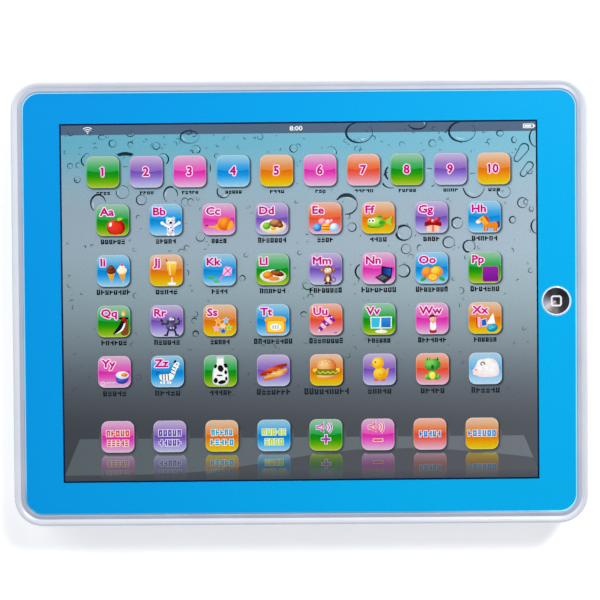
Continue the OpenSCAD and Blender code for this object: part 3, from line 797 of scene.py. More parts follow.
# Water drops on the screen: x, y, half width, half height, line, start angle and sweep of its arc
DROPS = [
    (-72.2, 60, 4.8, 2.7, 1.5, 5, 170), (-88, 60, 2.5, 2.5, 0.6, 110, 170),
    (-56.5, 60.3, 2.3, 2.3, 0.6, 250, 190), (-40, 56.6, 2.7, 3.7, 1.4, 290, 130),
    (-45.3, 69.4, 3.9, 2.6, 0.6, 20, 250), (-42.8, 64.2, 1.8, 1.8, 0.5, 190, 220),
    (-70, 71, 1.7, 1.1, 0.4, 180, 180), (-81.9, 69.6, 1.4, 1.0, 0.4, 30, 220),
    (-77.4, 67, 1.5, 1.5, 0.45, 60, 250), (-59.2, 65.9, 1.5, 1.5, 0.45, 150, 230),
    (-70, 66.5, 1.1, 1.1, 0.4, 0, 200), (-2.1, 64.3, 1.6, 1.6, 0.45, 100, 240),
    (-53.5, 45.4, 2.9, 3.4, 0.75, 350, 220), (-31.4, 46.6, 2.7, 2.6, 0.6, 110, 200),
    (-73.5, 46.8, 2.7, 2.7, 0.4, 10, 300), (-83.7, 42.1, 3.1, 3.7, 0.8, 10, 210),
    (-95.2, 57.8, 1.1, 1.1, 0.35, 0, 260), (-92.3, 52.2, 1.3, 1.3, 0.4, 120, 220),
    (25.3, 70.6, 5.5, 4.2, 0.9, 100, 190), (49.6, 74.2, 3.9, 2.4, 0.7, 190, 160),
    (68.1, 70.6, 5.5, 4.2, 0.9, 75, 215), (83.9, 69.7, 1.4, 1.2, 0.5, 20, 280),
    (89.7, 67, 1.0, 1.3, 0.5, 80, 230),
    (99.3, 67.9, 3.2, 4.0, 0.7, 110, 140), (99.4, 31, 2.8, 3.2, 0.7, 110, 140),
    (93.1, 40.8, 2.1, 2.1, 0.5, 20, 290), (96.7, 38.2, 0.9, 1.0, 0.4, 100, 250),
    (59.8, 53.9, 3.6, 3.4, 0.9, 330, 150),
    (39.6, 53.6, 3.6, 3.4, 0.9, 110, 150), (60.0, 60.6, 1.6, 1.1, 0.5, 10, 160),
    (19.7, 40.7, 4.5, 4.0, 1.5, 25, 125), (19.7, 40.7, 4.5, 4.0, 0.6, 250, 110),
    (55.7, 65.8, 1.5, 1.5, 0.4, 20, 240), (13.3, 62.5, 2.4, 2.4, 0.6, 180, 200),
    (38.5, 50.8, 4.0, 3.4, 0.8, 110, 150), (54, 51.5, 3.3, 4.0, 0.8, 290, 150),
    (72.8, 48.2, 4.5, 5.1, 0.55, 70, 290), (85.3, 45.4, 2.8, 2.5, 0.5, 20, 320),
    (43.6, 28.7, 3.3, 3.1, 1.1, 30, 270), (65.8, 32.6, 2.3, 2.3, 0.8, 40, 230),
    (62.2, 24.6, 2.4, 2.3, 0.6, 30, 280), (70.7, 22.9, 2.5, 2.5, 0.8, 60, 290),
    (21.9, 31.3, 1.8, 1.8, 0.5, 200, 250), (44.4, 22, 2.0, 2.0, 0.4, 60, 280),
    (50.2, 22.2, 1.2, 1.4, 0.45, 60, 120), (26.5, 12.7, 3.3, 3.3, 0.8, 100, 160),
    (43.3, 12.9, 2.6, 2.6, 0.7, 190, 280),
    (3.4, 7.6, 2.2, 2.2, 0.5, 150, 230), (88.9, 33.7, 1.3, 1.4, 0.6, 10, 300),
    (-65.7, 43.5, 2.1, 2.1, 0.5, 60, 280), (-47.6, 42.5, 1.4, 1.6, 0.4, 30, 160),
    (-45.2, 42.3, 1.3, 1.5, 0.4, 10, 170), (-41.3, 27.8, 1.8, 1.8, 0.4, 160, 220),
    (-24, 10.4, 1.2, 1.2, 0.5, 300, 240), (-44.2, -7.1, 1.1, 1.1, 0.5, 20, 150),
    (-43.7, -12.6, 1.2, 1.2, 0.6, 330, 240), (1.5, -4.9, 1.3, 1.1, 0.5, 20, 180),
]
# Drops that have run together: x, y and radius of each end
JOINED_DROPS = [(93.9, 63.5, 1.9, 90.8, 59.1, 1.2), (96.1, 56.3, 1.5, 93.4, 52.9, 1.2)]
SMALL_DROPS = 420       # scattered at random, more of them towards the screen's top
SMALL_RADII = (0.3, 0.4, 0.5, 0.7, 0.9, 1.2)


def make_drops():
    """The drops' dark rims, each with a pale glint inside the other side of its rim."""
    art = Artwork()

    def shaded(ink, strength):
        def paint(x, y):
            tone = status_tone(x, y) if y > STATUS_FOOT else screen_tone(x, y)
            return mix(tone, ink, strength)
        return paint

    rim = shaded((14, 34, 44), 0.88)
    faint = shaded((22, 42, 52), 0.66)
    glint = shaded((228, 240, 244), 0.6)
    right, top = SCREEN[2] - OUTLINE_W, SCREEN[3] - OUTLINE_W
    for x, y, rx, ry, w, start, sweep in DROPS:
        steps = 8 + int(rx * 3)
        if rx > 1.5:
            art.arc(x, y, rx * 0.72, ry * 0.72, w * 0.6, start + 150, 60, glint, 0.2, 5)
        art.arc(x, y, rx, ry, w * 0.5, start, sweep + 110, faint, 0.3, steps)
        art.arc(x, y, rx, ry, w, start, sweep, rim, 0.3, steps)
    for x0, y0, r0, x1, y1, r1 in JOINED_DROPS:
        lean = math.degrees(math.atan2(y1 - y0, x1 - x0))
        art.arc(x0, y0, r0, r0, 0.55, lean + 80, 210, rim, 0.6, 10)
        art.arc(x1, y1, r1, r1, 0.5, lean - 110, 200, rim, 0.6, 10)
        for side in (-1, 1):
            across = math.radians(lean + 90 * side)
            art.bar(x0 + r0 * math.cos(across), y0 + r0 * math.sin(across),
                    x1 + r1 * math.cos(across), y1 + r1 * math.sin(across), 0.4, faint)
    dice = random.Random(7)
    for _ in range(SMALL_DROPS):
        x = dice.uniform(-97, 97)
        y = 72 - 112 * dice.random() ** 1.25
        r = dice.choice(SMALL_RADII) * dice.uniform(0.8, 1.1)
        fade = dice.uniform(0.35, 0.8) * (1 - 0.6 * smooth((12 - y) / 50))
        start = dice.uniform(0, 360)
        art.arc(x, y, r, r * dice.uniform(0.8, 1.1), 0.22 + 0.14 * r, start, dice.uniform(110, 300),
                shaded((20, 40, 50), fade), 0.3, 6)
    for outside in (box_points(right, -80, right + 8, 80), box_points(-104, top, 104, top + 8)):
        art.shape(outside, None)
    art.build("print_water_drops", DROP_LEVEL)


# ---------------------------------------------------------------- key plates

PLATE_W = 13.7
PLATE_D = 13.2
PLATE_R = 2.9
EDGE_W = 0.35           # of the pale edge round a plate
GLOSS_END = 0.6         # height of the gloss line's ends
GLOSS_SAG = 0.8         # how far its middle hangs below them
UPPER = 3               # of a plate's colours lie above the gloss line


def half_height(x):
    """Half the plate's height at x, less towards its round corners."""
    over = max(abs(x) - (PLATE_W / 2 - PLATE_R), 0)
    return PLATE_D / 2 - PLATE_R + math.sqrt(max(PLATE_R * PLATE_R - over * over, 0))


def gloss_line(x):
    """The gloss line's height at x. It hangs between its ends, like a smile."""
    return GLOSS_END - GLOSS_SAG * math.cos(min(abs(x) / PLATE_W, 0.5) * math.pi)


def plate_columns():
    """Places across the plate where its shading is cut: closer together at its corners."""
    corner = [PLATE_W / 2 - PLATE_R + PLATE_R * math.sin(math.radians(a)) for a in (0, 25, 50, 70, 90)]
    return sorted([-c for c in corner] + [-2, 0, 2] + corner)


def draw_plate(art, tones):
    """A glossy key: two shaded halves that meet at the gloss line, and a pale edge."""
    stops = list(zip(GLOSS_HEIGHTS, tones))
    upper, lower = stops[:UPPER], stops[UPPER:]
    rows = 3
    xs = plate_columns()
    for a, b in zip(xs, xs[1:]):
        for half, side in ((upper, 1), (lower, -1)):
            def at(x, t, side=side):
                line = gloss_line(x)
                return (x, line + (side * half_height(x) - line) * t)
            for k in range(rows):
                quad = [at(a, k / rows), at(b, k / rows), at(b, (k + 1) / rows), at(a, (k + 1) / rows)]
                art.shape(quad, lambda x, y, half=half: along(half, y))
    outer = rounded_points(0, 0, PLATE_W, PLATE_D, PLATE_R)
    inner = rounded_points(0, 0, PLATE_W - 2 * EDGE_W, PLATE_D - 2 * EDGE_W, PLATE_R - EDGE_W)
    count = len(outer)

    def edge(x, y):
        return mix(along(upper if y > gloss_line(x) else lower, y), WHITE, 0.22)

    art.shapes([[outer[k], outer[(k + 1) % count], inner[(k + 1) % count], inner[k]]
                for k in range(count)], edge)


SHADOW_INK = (20, 28, 40)
SHADOW_SHIFT = 0.45     # how far a plate's shadow is thrown to the right and down
SHADOW_IN = 0.35        # how far inside its outline its soft edge starts
SHADOW_SOFT = 1.15      # width of that edge
BAND_SHIFT = 0.3        # how far the bands that it is drawn in are moved the same way
BANDS = (1.2, 0.85, 0.5, 0.15)          # how far past the plate they reach


def draw_shadow(art, strength=0.72):
    """The soft shadow round a plate, thrown to its lower right."""
    def shadow(x, y):
        px = abs(x - SHADOW_SHIFT) - PLATE_W / 2 + PLATE_R
        py = abs(y + SHADOW_SHIFT) - PLATE_D / 2 + PLATE_R
        outside = math.hypot(max(px, 0), max(py, 0)) + min(max(px, py), 0) - PLATE_R
        tone = shelf_tone(art.x + x, art.y + y)
        return mix(tone, SHADOW_INK, strength * (1 - smooth((outside + SHADOW_IN) / SHADOW_SOFT)))

    for reach in BANDS:
        w, d = PLATE_W + 2 * reach, PLATE_D + 2 * reach
        art.shape(rounded_points(BAND_SHIFT, -BAND_SHIFT, w, d, PLATE_R + reach), shadow)


# ---------------------------------------------------------------- pictures on the keys

def fruit(a):
    a.ball(0.2, -3.0, 2.7, 3.0, (250, 96, 70), DARK_RED)
    a.ball(2.6, -3.0, 2.6, 3.0, RED, DARK_RED)
    a.ball(1.3, -3.6, 2.9, 2.6, (240, 60, 40), RED)
    a.bar(1.3, -1.0, 1.9, 0.5, 0.4, BROWN)
    a.blob([(1.7, -0.1), (2.6, 1.0), (4.2, 0.8), (3.2, -0.2)], LIME)
    a.oval(-0.9, -1.9, 0.6, 0.9, WHITE, -20)


def bear(a):
    for s in (-1, 1):
        a.bar(2 + s * 1.2, -2.9, 2 + s * 3.4, -1.5, 1.0, WHITE)
        a.oval(2 + s * 3.5, -1.4, 0.7, 0.7, WHITE)
        a.oval(2 + s * 1.3, 0.5, 0.7, 0.7, SILVER)
        a.oval(2 + s * 0.9, -6.0, 0.8, 0.8, WHITE)
    a.ball(2, -4.2, 1.6, 2.0, WHITE, (206, 196, 224))
    a.ball(2, -0.9, 1.9, 1.7, WHITE, (216, 214, 232))
    a.oval(2.1, -1.3, 0.65, 0.5, BLACK)
    a.ovals([(1.3, -0.4), (2.7, -0.4)], 0.22, 0.28, NAVY)
    a.ovals([(1.1, -3.9), (2.8, -4.6), (2.2, -3.4)], 0.35, 0.3, VIOLET)


def cap(a):
    a.blob([(-5.2, -2.2), (-3.0, -3.0), (0.4, -2.0), (1.0, -4.6), (-2.0, -3.8), (-5.0, -2.9)], AMBER)
    a.ball(2.4, -1.9, 3.0, 2.9, (252, 160, 50), (226, 92, 12))
    a.blob([(3.4, -4.3), (5.9, -3.6), (5.6, -0.8), (4.4, -1.4)], AMBER)
    a.arc(2.4, -1.9, 1.6, 2.8, 0.25, 90, 130, CORAL)
    a.oval(-5.0, -2.6, 0.8, 0.4, BROWN)


def dinner(a):
    a.ball(0.5, -3.2, 5.5, 2.9, WHITE, (232, 208, 168))
    a.oval(0.5, -3.1, 4.2, 2.0, CREAM)
    a.ball(-2.2, -3.0, 1.7, 1.5, LIME, GREEN)
    a.ball(1.6, -1.9, 2.7, 1.7, TAN, CHOCOLATE)
    a.ball(3.4, -2.9, 1.3, 1.0, (190, 110, 60), CHOCOLATE)
    a.oval(0.6, -4.2, 1.2, 0.7, AMBER)
    a.oval(1.4, -1.0, 1.0, 0.4, (226, 140, 80))


def eggs(a):
    a.ball(-3.2, -3.9, 1.9, 1.7, SKY, BLUE)
    a.ball(0.3, -4.0, 1.8, 1.9, YELLOW, AMBER)
    a.ball(3.8, -3.9, 1.8, 1.8, WHITE, SKY)
    a.bars([(-1.2, -3.5, 1.8, -3.5), (-1.2, -4.6, 1.8, -4.6)], 0.45, RED)
    a.ball(-1.3, -1.3, 1.6, 1.2, ROSE, (244, 130, 150), 20)
    a.ball(1.2, -1.5, 1.0, 0.9, WHITE, ROSE)
    a.oval(2.6, -1.0, 0.6, 0.6, ROSE)


def fish(a):
    a.blob([(3.0, -1.4), (5.0, 0.0), (5.8, 0.5), (5.2, -1.4), (5.6, -3.2), (4.4, -2.8)], LIME)
    a.blob([(-0.4, 0.1), (0.8, 1.0), (2.0, 0.0)], GREEN)
    a.ball(-0.8, -2.2, 3.9, 2.3, (204, 240, 110), (96, 176, 30))
    a.blob([(0.2, -2.0), (1.6, -1.2), (2.6, -2.2), (1.2, -3.0)], GREEN)
    a.arc(-2.6, -2.6, 1.9, 1.5, 0.25, 200, 110, DARK_GREEN)
    for x in (-3.5, -2.1):
        a.oval(x, -1.2, 0.75, 0.85, WHITE)
        a.oval(x - 0.1, -1.3, 0.35, 0.42, BLACK)


def gift(a):
    a.shape(box_points(-1.9, -6.1, 3.3, -2.8), (250, 202, 170))
    a.shape(box_points(0.2, -6.1, 1.2, -2.8), (232, 120, 96))
    a.blob([(-2.6, -3.8), (-2.4, -1.9), (0.7, -2.3), (3.9, -1.9), (4.0, -3.8), (0.7, -3.3)], DARK_RED)
    a.ball(-0.8, -1.1, 1.5, 1.0, (246, 90, 110), DARK_RED, -20)
    a.ball(2.3, -1.1, 1.5, 1.0, (246, 90, 110), DARK_RED, 20)
    a.ball(0.7, -1.6, 0.8, 0.9, ROSE, RED)


def horse(a):
    a.bars([(x, -3.8, x - 0.2, -6.1) for x in (0.2, 1.3, 4.2, 5.1)], 0.75, (226, 110, 20))
    a.blob([(5.0, -2.4), (6.2, -1.9), (6.5, -4.0), (5.6, -4.6)], (90, 50, 90))
    a.blob([(0.0, -1.4), (1.6, -2.6), (4.6, -2.2), (5.6, -3.4), (4.8, -4.8), (1.0, -4.6), (-0.6, -3.4)],
           ORANGE)
    a.blob([(-0.4, 0.2), (1.0, -0.6), (1.6, -2.8), (0.2, -3.4), (-1.0, -2.4), (-2.8, -2.7), (-3.4, -1.8),
            (-1.6, -0.4)], AMBER)
    a.ball(-2.6, -2.2, 1.0, 0.7, WHITE, CREAM)
    a.blob([(-0.4, 0.5), (0.8, 0.4), (1.9, -1.0), (2.0, -2.6), (1.0, -1.6), (0.2, -0.4)], (206, 70, 20))
    a.oval(-1.1, -1.3, 0.22, 0.28, BLACK)


def cones(a):
    for x, lean, light, dark in ((-0.9, 0.2, (150, 80, 50), CHOCOLATE), (3.6, 0.6, WHITE, CREAM)):
        a.shape([(x - 1.6, -0.8), (x + 1.6, -0.8), (x + lean, -5.3)], AMBER)
        a.bars([(x - 0.9, -1.2, x + lean + 0.2, -4.2), (x + 1.0, -1.2, x + lean - 0.2, -4.0)], 0.2, ORANGE)
        a.ball(x, 0.1, 2.1, 1.5, light, dark)
        a.ball(x, 1.2, 1.3, 1.2, light, dark)
    a.ball(3.6, 2.5, 0.6, 0.6, PINK, RED)


def juice(a):
    a.bar(-0.2, 4.8, 0.9, 2.6, 0.5, RED)
    a.shape([(0.1, 3.2), (4.4, 3.2), (3.7, -2.6), (0.9, -2.6)],
            lambda x, y: mix(ORANGE, YELLOW, (y + 3) / 6))
    a.oval(2.25, 3.2, 2.15, 0.5, CREAM)
    a.bar(1.3, 2.4, 1.7, -2.0, 0.5, (255, 236, 170))
    a.oval(2.3, -2.7, 1.4, 0.6, ORANGE)
    a.bar(2.3, -3.0, 2.3, -5.4, 0.5, WHITE)
    a.oval(2.3, -5.6, 1.8, 0.55, WHITE)


def kite(a):
    a.blob([(-5.4, -3.0), (-3.4, -2.2), (-1.6, -3.0), (-3.4, -3.9)], (70, 170, 120))
    a.blob([(-2.6, -4.8), (-1.2, -4.2), (0.2, -4.9), (-1.2, -5.5)], (90, 190, 90))
    a.shape([(2.0, 1.4), (5.4, 1.0), (5.0, -2.3), (1.2, -2.6)], (255, 190, 235))
    a.bars([(2.0, 1.4, 5.0, -2.3), (5.4, 1.0, 1.2, -2.6)], 0.35, MAGENTA)
    a.ovals([(1.0, -3.0), (0.5, -3.8)], 0.5, 0.35, PINK, 40)


def lunch(a):
    a.ball(0.2, -2.8, 5.5, 2.7, WHITE, (222, 214, 196))
    a.oval(0.2, -2.8, 4.3, 1.9, (252, 244, 226))
    a.ball(-1.9, -2.4, 2.2, 1.6, AMBER, (206, 96, 20))
    a.ball(2.0, -1.7, 2.9, 1.2, (180, 90, 44), CHOCOLATE, -14)
    a.ball(0.6, -3.9, 2.4, 0.9, (244, 150, 60), ORANGE)
    a.blob([(0.4, -0.6), (2.2, 0.0), (3.2, -0.6), (1.4, -1.0)], DARK_GREEN)


def monkey(a):
    a.arc(3.0, -4.6, 1.1, 1.0, 0.4, 240, 230, BROWN)
    for s in (-1, 1):
        a.ball(1.0 + s * 2.3, -0.7, 0.85, 0.9, TAN, BROWN)
        a.bar(1.0 + s * 0.9, -3.4, 1.0 + s * 1.7, -5.2, 0.6, BROWN)
        a.oval(1.0 + s * 0.8, -6.1, 0.75, 0.45, CHOCOLATE)
    a.ball(1.0, -4.0, 1.45, 2.1, (170, 100, 56), CHOCOLATE)
    a.oval(1.0, -4.4, 0.65, 1.2, CREAM)
    a.ball(1.0, -0.6, 2.1, 1.9, (176, 104, 56), BROWN)
    a.ball(1.0, -1.0, 1.6, 1.3, CREAM, TAN)
    for x in (0.3, 1.7):
        a.oval(x, -0.4, 0.62, 0.66, WHITE)
        a.oval(x, -0.5, 0.2, 0.26, BLACK)
    a.arc(1.0, -1.5, 0.6, 0.45, 0.16, 200, 140, CHOCOLATE)


def notebook(a):
    a.shape([(-1.6, -3.8), (1.4, -2.2), (5.3, -4.1), (2.4, -6.5)], (52, 50, 60))
    a.shape([(-0.6, -3.8), (1.5, -2.8), (3.6, -3.8), (1.6, -5.0)], (96, 96, 108))
    a.shape([(1.2, 0.9), (5.8, 0.2), (5.3, -4.1), (1.1, -2.6)], BLACK)
    a.shape([(1.7, 0.2), (5.2, -0.3), (4.8, -3.4), (1.6, -2.3)],
            lambda x, y: mix(NAVY, BLUE, (x - 1.4) / 3.6))


def oranges(a):
    for x, y, turn in ((-3.4, -4.7, 30), (4.3, -4.7, -30), (1.7, 0.5, 10)):
        a.oval(x, y, 1.4, 0.7, GREEN, turn)
    a.ball(-1.9, -1.8, 2.3, 2.2, AMBER, CORAL)
    a.ball(2.1, -1.6, 2.6, 2.2, YELLOW, ORANGE)
    a.ball(0.5, -4.0, 2.3, 1.7, AMBER, ORANGE)
    a.oval(0.5, -3.9, 1.7, 1.2, YELLOW)
    for k in range(6):
        turn = math.tau * k / 6
        a.bar(0.5, -3.9, 0.5 + 1.6 * math.cos(turn), -3.9 + 1.1 * math.sin(turn), 0.14, ORANGE)


def purple_square(a):
    a.shape(rounded_points(2.4, -2.8, 7.0, 6.7, 1.0), (150, 150, 60))
    a.shape(rounded_points(2.4, -2.8, 6.5, 6.2, 0.8),
            lambda x, y: mix((120, 20, 146), (150, 40, 168), (y + 6) / 6.4))


def queen(a):
    a.blob([(3.2, 0.6), (5.6, 0.4), (6.0, -5.2), (3.0, -5.4)], BROWN)
    a.blob([(3.6, 1.2), (2.2, -1.6), (-0.4, -5.4), (1.4, -5.2), (3.8, -2.8), (4.6, 0.4)], BLACK)
    a.blob([(4.8, -1.2), (3.4, -4.0), (-0.8, -5.9), (0.6, -5.2), (3.0, -3.4), (4.3, -0.8)], WHITE)
    a.ball(4.2, 0.9, 1.4, 1.1, RED, DARK_RED)
    for s in (-1, 1):
        a.oval(4.2 + s * 1.3, 1.2, 0.7, 0.5, BLACK)
    a.ball(4.0, 3.1, 0.9, 0.9, YELLOW, AMBER)
    a.oval(4.0, 2.8, 0.55, 0.65, SKIN_TONE)
    a.shape([(3.3, 3.8), (3.3, 4.7), (3.8, 4.2), (4.1, 4.9), (4.4, 4.2), (4.8, 4.7), (4.7, 3.8)], AMBER)


def robot(a):
    dark = (44, 38, 70)
    a.bars([(-2.6, 0.6, -1.0, -1.0), (-2.2, -1.6, -0.4, -0.4), (5.0, 1.2, 4.2, -0.8),
            (5.4, -0.6, 3.8, -1.4), (0.6, -4.0, 0.0, -6.0), (3.2, -4.0, 4.0, -6.0)], 0.8, dark)
    a.ovals([(-0.4, -6.0), (4.2, -6.0)], 1.0, 0.4, dark)
    a.ball(-0.4, -0.6, 1.3, 1.2, GREY, dark)
    a.ball(4.4, -0.6, 1.2, 1.2, GREY, dark)
    a.ball(1.9, -2.6, 2.2, 1.7, (110, 104, 150), dark)
    a.ball(2.1, 0.5, 1.5, 1.3, (190, 190, 210), dark)
    for x in (1.6, 2.7):
        a.oval(x, 0.6, 0.35, 0.35, WHITE)
        a.oval(x, -3.0, 0.3, 0.4, SILVER)


def star_points(x, y, r):
    reach = [r, r * 0.48] * 5
    return [(x + far * math.sin(math.pi * k / 5), y + far * math.cos(math.pi * k / 5))
            for k, far in enumerate(reach)]


def stars(a):
    a.oval(1.2, -2.3, 1.2, 1.1, (252, 214, 170))
    for x, y, ink in ((-0.7, -0.3, AMBER), (2.5, 0.0, SKY), (-1.5, -3.3, (250, 160, 220)),
                      (1.3, -4.5, BLUE), (3.8, -3.0, LIME)):
        a.shape(star_points(x, y, 1.65), mix(ink, WHITE, 0.55))
        a.shape(star_points(x, y, 1.3), ink)


def telephone(a):
    a.blob([(-2.4, -0.4), (4.6, -0.4), (5.0, -4.6), (3.6, -5.6), (-1.4, -5.6), (-2.8, -4.6)], ORANGE)
    a.blob([(-1.9, -0.8), (4.1, -0.8), (4.5, -4.4), (3.2, -5.1), (-1.0, -5.1), (-2.3, -4.4)], YELLOW)
    a.blob([(-3.5, -0.2), (-2.4, 1.2), (1.1, 1.6), (4.6, 1.2), (5.6, -0.2), (4.2, -1.1), (3.0, -0.2),
            (-0.8, -0.2), (-2.2, -1.1)], AMBER)
    a.oval(1.1, -3.0, 2.3, 1.4, WHITE)
    a.ovals([(0.1 + x, y) for y in (-2.6, -3.4) for x in range(3)], 0.32, 0.26, GREY)


def umbrella(a):
    steps = 5
    for k in range(steps):
        x, y = -2.2 + 4.2 * k / (steps - 1), -3.9 + 4.6 * k / (steps - 1)
        wide = 1.0 + 0.35 * k
        a.oval(x, y, wide, 0.85, (PURPLE, ROSE)[k % 2], 140)
    a.ovals([(-1.4, -2.2), (0.2, -1.8), (1.4, 0.6), (2.4, 0.9), (0.9, -0.2)], 0.35, 0.3, WHITE)
    a.bar(-2.6, -4.2, -3.1, -4.9, 0.4, WHITE)
    a.arc(3.9, -5.2, 0.6, 0.5, 0.3, 200, 160, DARK_RED)


def screens(a):
    a.shape([(-3.6, 0.9), (0.9, 0.9), (0.4, -4.0), (-3.5, -4.0)], WHITE)
    a.shape([(-3.2, 0.5), (0.5, 0.5), (0.1, -3.6), (-3.1, -3.6)], CYAN)
    a.shape([(0.6, 0.9), (5.4, 0.9), (5.2, -4.0), (0.6, -4.0)], WHITE)
    a.shape([(0.9, 0.5), (5.0, 0.5), (4.8, -3.6), (0.9, -3.6)],
            lambda x, y: mix(BLUE, CYAN, (y + 4) / 8))
    a.bar(0.8, -4.0, 0.8, -5.0, 0.8, SILVER)
    a.ball(0.9, -5.3, 2.6, 0.7, WHITE, CREAM)


def waiter(a):
    a.blob([(-0.9, -6.0), (-0.6, -4.0), (1.4, -4.0), (1.7, -6.0)], (190, 30, 60))
    a.blob([(-0.7, -4.6), (-0.6, -1.4), (1.4, -1.4), (1.5, -4.6)], WHITE)
    a.shape([(0.0, -1.5), (0.8, -1.5), (0.4, -2.6)], RED)
    a.ball(0.4, -0.4, 1.4, 1.5, SKIN_TONE, (232, 160, 120))
    a.blob([(-1.2, 0.3), (-0.6, 1.4), (0.8, 1.6), (2.0, 0.6), (1.2, 0.7), (-0.2, 0.5)], CHOCOLATE)
    a.ovals([(0.0, -0.3), (0.9, -0.3)], 0.14, 0.18, BLACK)


def films(a):
    a.shape([(-3.8, 0.2), (-1.6, 0.4), (-1.6, -4.4), (-3.6, -4.0)], RED)
    a.shape([(-3.2, 0.3), (-1.9, 0.4), (-1.9, -4.2), (-3.1, -3.9)], ROSE)
    a.shape([(0.4, -2.6), (3.4, 2.0), (4.2, -2.4)], WHITE)
    a.shape([(-1.8, -0.6), (0.6, 0.0), (1.0, -3.4), (-1.6, -3.8)], SILVER)
    a.shape([(-1.5, -1.0), (0.3, -0.5), (0.6, -3.0), (-1.3, -3.4)], BLUE)
    a.ball(3.0, -4.2, 2.4, 1.7, CYAN, TEAL, 10)
    a.bar(1.6, -4.6, 4.4, -3.6, 0.25, SKY)


def yoyo(a):
    a.arc(-4.9, -4.9, 0.8, 0.7, 0.25, 0, 340, (255, 226, 240))
    for k in range(4):
        a.arc(-3.4 + 1.1 * k, -5.0 + 0.3 * (k % 2), 0.8, 0.4, 0.2, 20, 140, (255, 220, 238))
    a.ball(3.2, -2.9, 2.7, 2.2, (110, 130, 230), (44, 54, 160), 10)
    a.shape([(0.5, -1.3), (6.1, -1.0), (5.9, -3.0), (0.6, -3.2)], (70, 84, 196))
    a.ball(3.3, -1.4, 2.8, 1.6, WHITE, (222, 222, 236))
    a.ball(4.1, -1.3, 1.4, 0.75, AMBER, (214, 104, 20))


def zebra(a):
    for x in (-2.4, -1.2, 0.4, 1.4):
        a.bar(x, -2.6, x - 0.3, -5.2, 0.7, WHITE)
        a.bar(x - 0.1, -3.7, x - 0.2, -4.1, 0.7, BLACK)
    a.blob([(-3.4, -1.6), (-1.4, -1.2), (1.2, -0.8), (2.0, 1.6), (3.4, 3.6), (4.6, 3.8), (5.2, 2.2),
            (4.0, 1.0), (3.0, -1.6), (1.6, -3.6), (-2.4, -3.8)], WHITE)
    a.bars([(2.0, 2.0, 3.6, 1.2), (1.5, 0.8, 3.3, 0.0), (1.1, -0.4, 2.9, -1.4),
            (-2.2, -1.3, -2.0, -3.6), (-1.0, -1.1, -0.8, -3.7), (0.2, -0.9, 0.5, -3.6)], 0.35, BLACK)
    a.blob([(2.6, 3.4), (3.2, 4.8), (3.8, 4.0)], BLACK)
    a.oval(4.0, 2.9, 0.3, 0.3, BLACK)
    a.oval(5.0, 2.2, 0.4, 0.4, GREY)
    a.arc(-3.6, -1.6, 1.0, 1.3, 0.25, 60, 120, NAVY)


def milk(a):
    a.blob([(-1.3, 5.8), (1.3, 5.8), (1.6, 3.4), (3.0, 0.6), (2.9, -5.4), (-2.9, -5.4), (-3.0, 0.6),
            (-1.6, 3.4)], (214, 216, 228))
    a.blob([(-1.0, 5.6), (1.0, 5.6), (1.3, 3.2), (2.6, 0.4), (2.5, -5.0), (-2.5, -5.0), (-2.6, 0.4),
            (-1.3, 3.2)], WHITE)
    a.shape(rounded_points(0, 5.6, 3.0, 0.9, 0.3, 3), SILVER)
    for x, y, rx, ry, turn in ((0.1, 1.0, 1.2, 1.5, 20), (-2.0, 1.9, 0.6, 0.9, -20), (2.2, 2.2, 0.8, 1.0, 30),
                               (2.2, -0.6, 0.6, 0.9, 0), (-2.0, -4.0, 0.9, 1.1, 0), (0.6, -4.7, 1.7, 0.8, 10),
                               (2.4, -3.3, 0.5, 0.9, 0), (-0.3, -1.9, 1.3, 0.35, 0)):
        a.oval(x, y, rx, ry, BLACK, turn)


def hot_dog(a):
    turn = 22
    a.ball(0.9, -1.9, 5.6, 1.35, (255, 214, 150), (214, 116, 56), turn)
    a.ball(-0.3, 0.2, 5.9, 1.25, (232, 100, 54), (170, 44, 24), turn)
    a.oval(4.9, 2.2, 0.9, 0.7, (150, 46, 28), turn)
    a.ball(0.9, -1.3, 5.2, 0.75, (255, 224, 150), (240, 176, 90), turn)
    for k in range(7):
        x = -3.4 + 1.15 * k
        a.arc(x, -0.95 + 0.4 * x, 0.65, 0.45, 0.34, 20 if k % 2 else 200, 140, (196, 180, 40))


def hamburger(a):
    a.ball(0.2, -2.7, 4.3, 1.2, (255, 214, 160), (226, 134, 60))
    a.blob([(-4.6, -0.9), (-5.6, 0.3), (-4.0, 0.6), (4.6, 0.6), (5.4, 0.2), (4.6, -1.0)], YELLOW)
    a.blob([(-4.1, -0.2), (-4.2, -1.9), (0, -2.4), (4.4, -1.9), (4.5, -0.2), (0, 0.1)], (122, 132, 24))
    for k in range(8):
        x = -3.6 + 1.05 * k
        a.bar(x, -0.7 - 0.8 * (k % 2), x + 1.05, -1.5 + 0.8 * (k % 2), 0.4, (214, 214, 96))
    a.bar(-3.9, 0.35, 4.0, 0.35, 0.75, (206, 66, 30))
    a.blob([(-3.7, 0.6), (-3.7, 2.9), (-1.8, 4.6), (1.8, 4.6), (3.8, 2.9), (3.8, 0.6), (0, 0.3)],
           lambda x, y: mix((212, 96, 24), (250, 214, 150), 1.15 - math.hypot(x + 1.2, y - 2.2) / 4.6))
    a.ovals([(-1.8, 3.3), (-0.3, 3.9), (1.3, 3.5), (0.3, 2.7)], 0.3, 0.18, CREAM, 20)


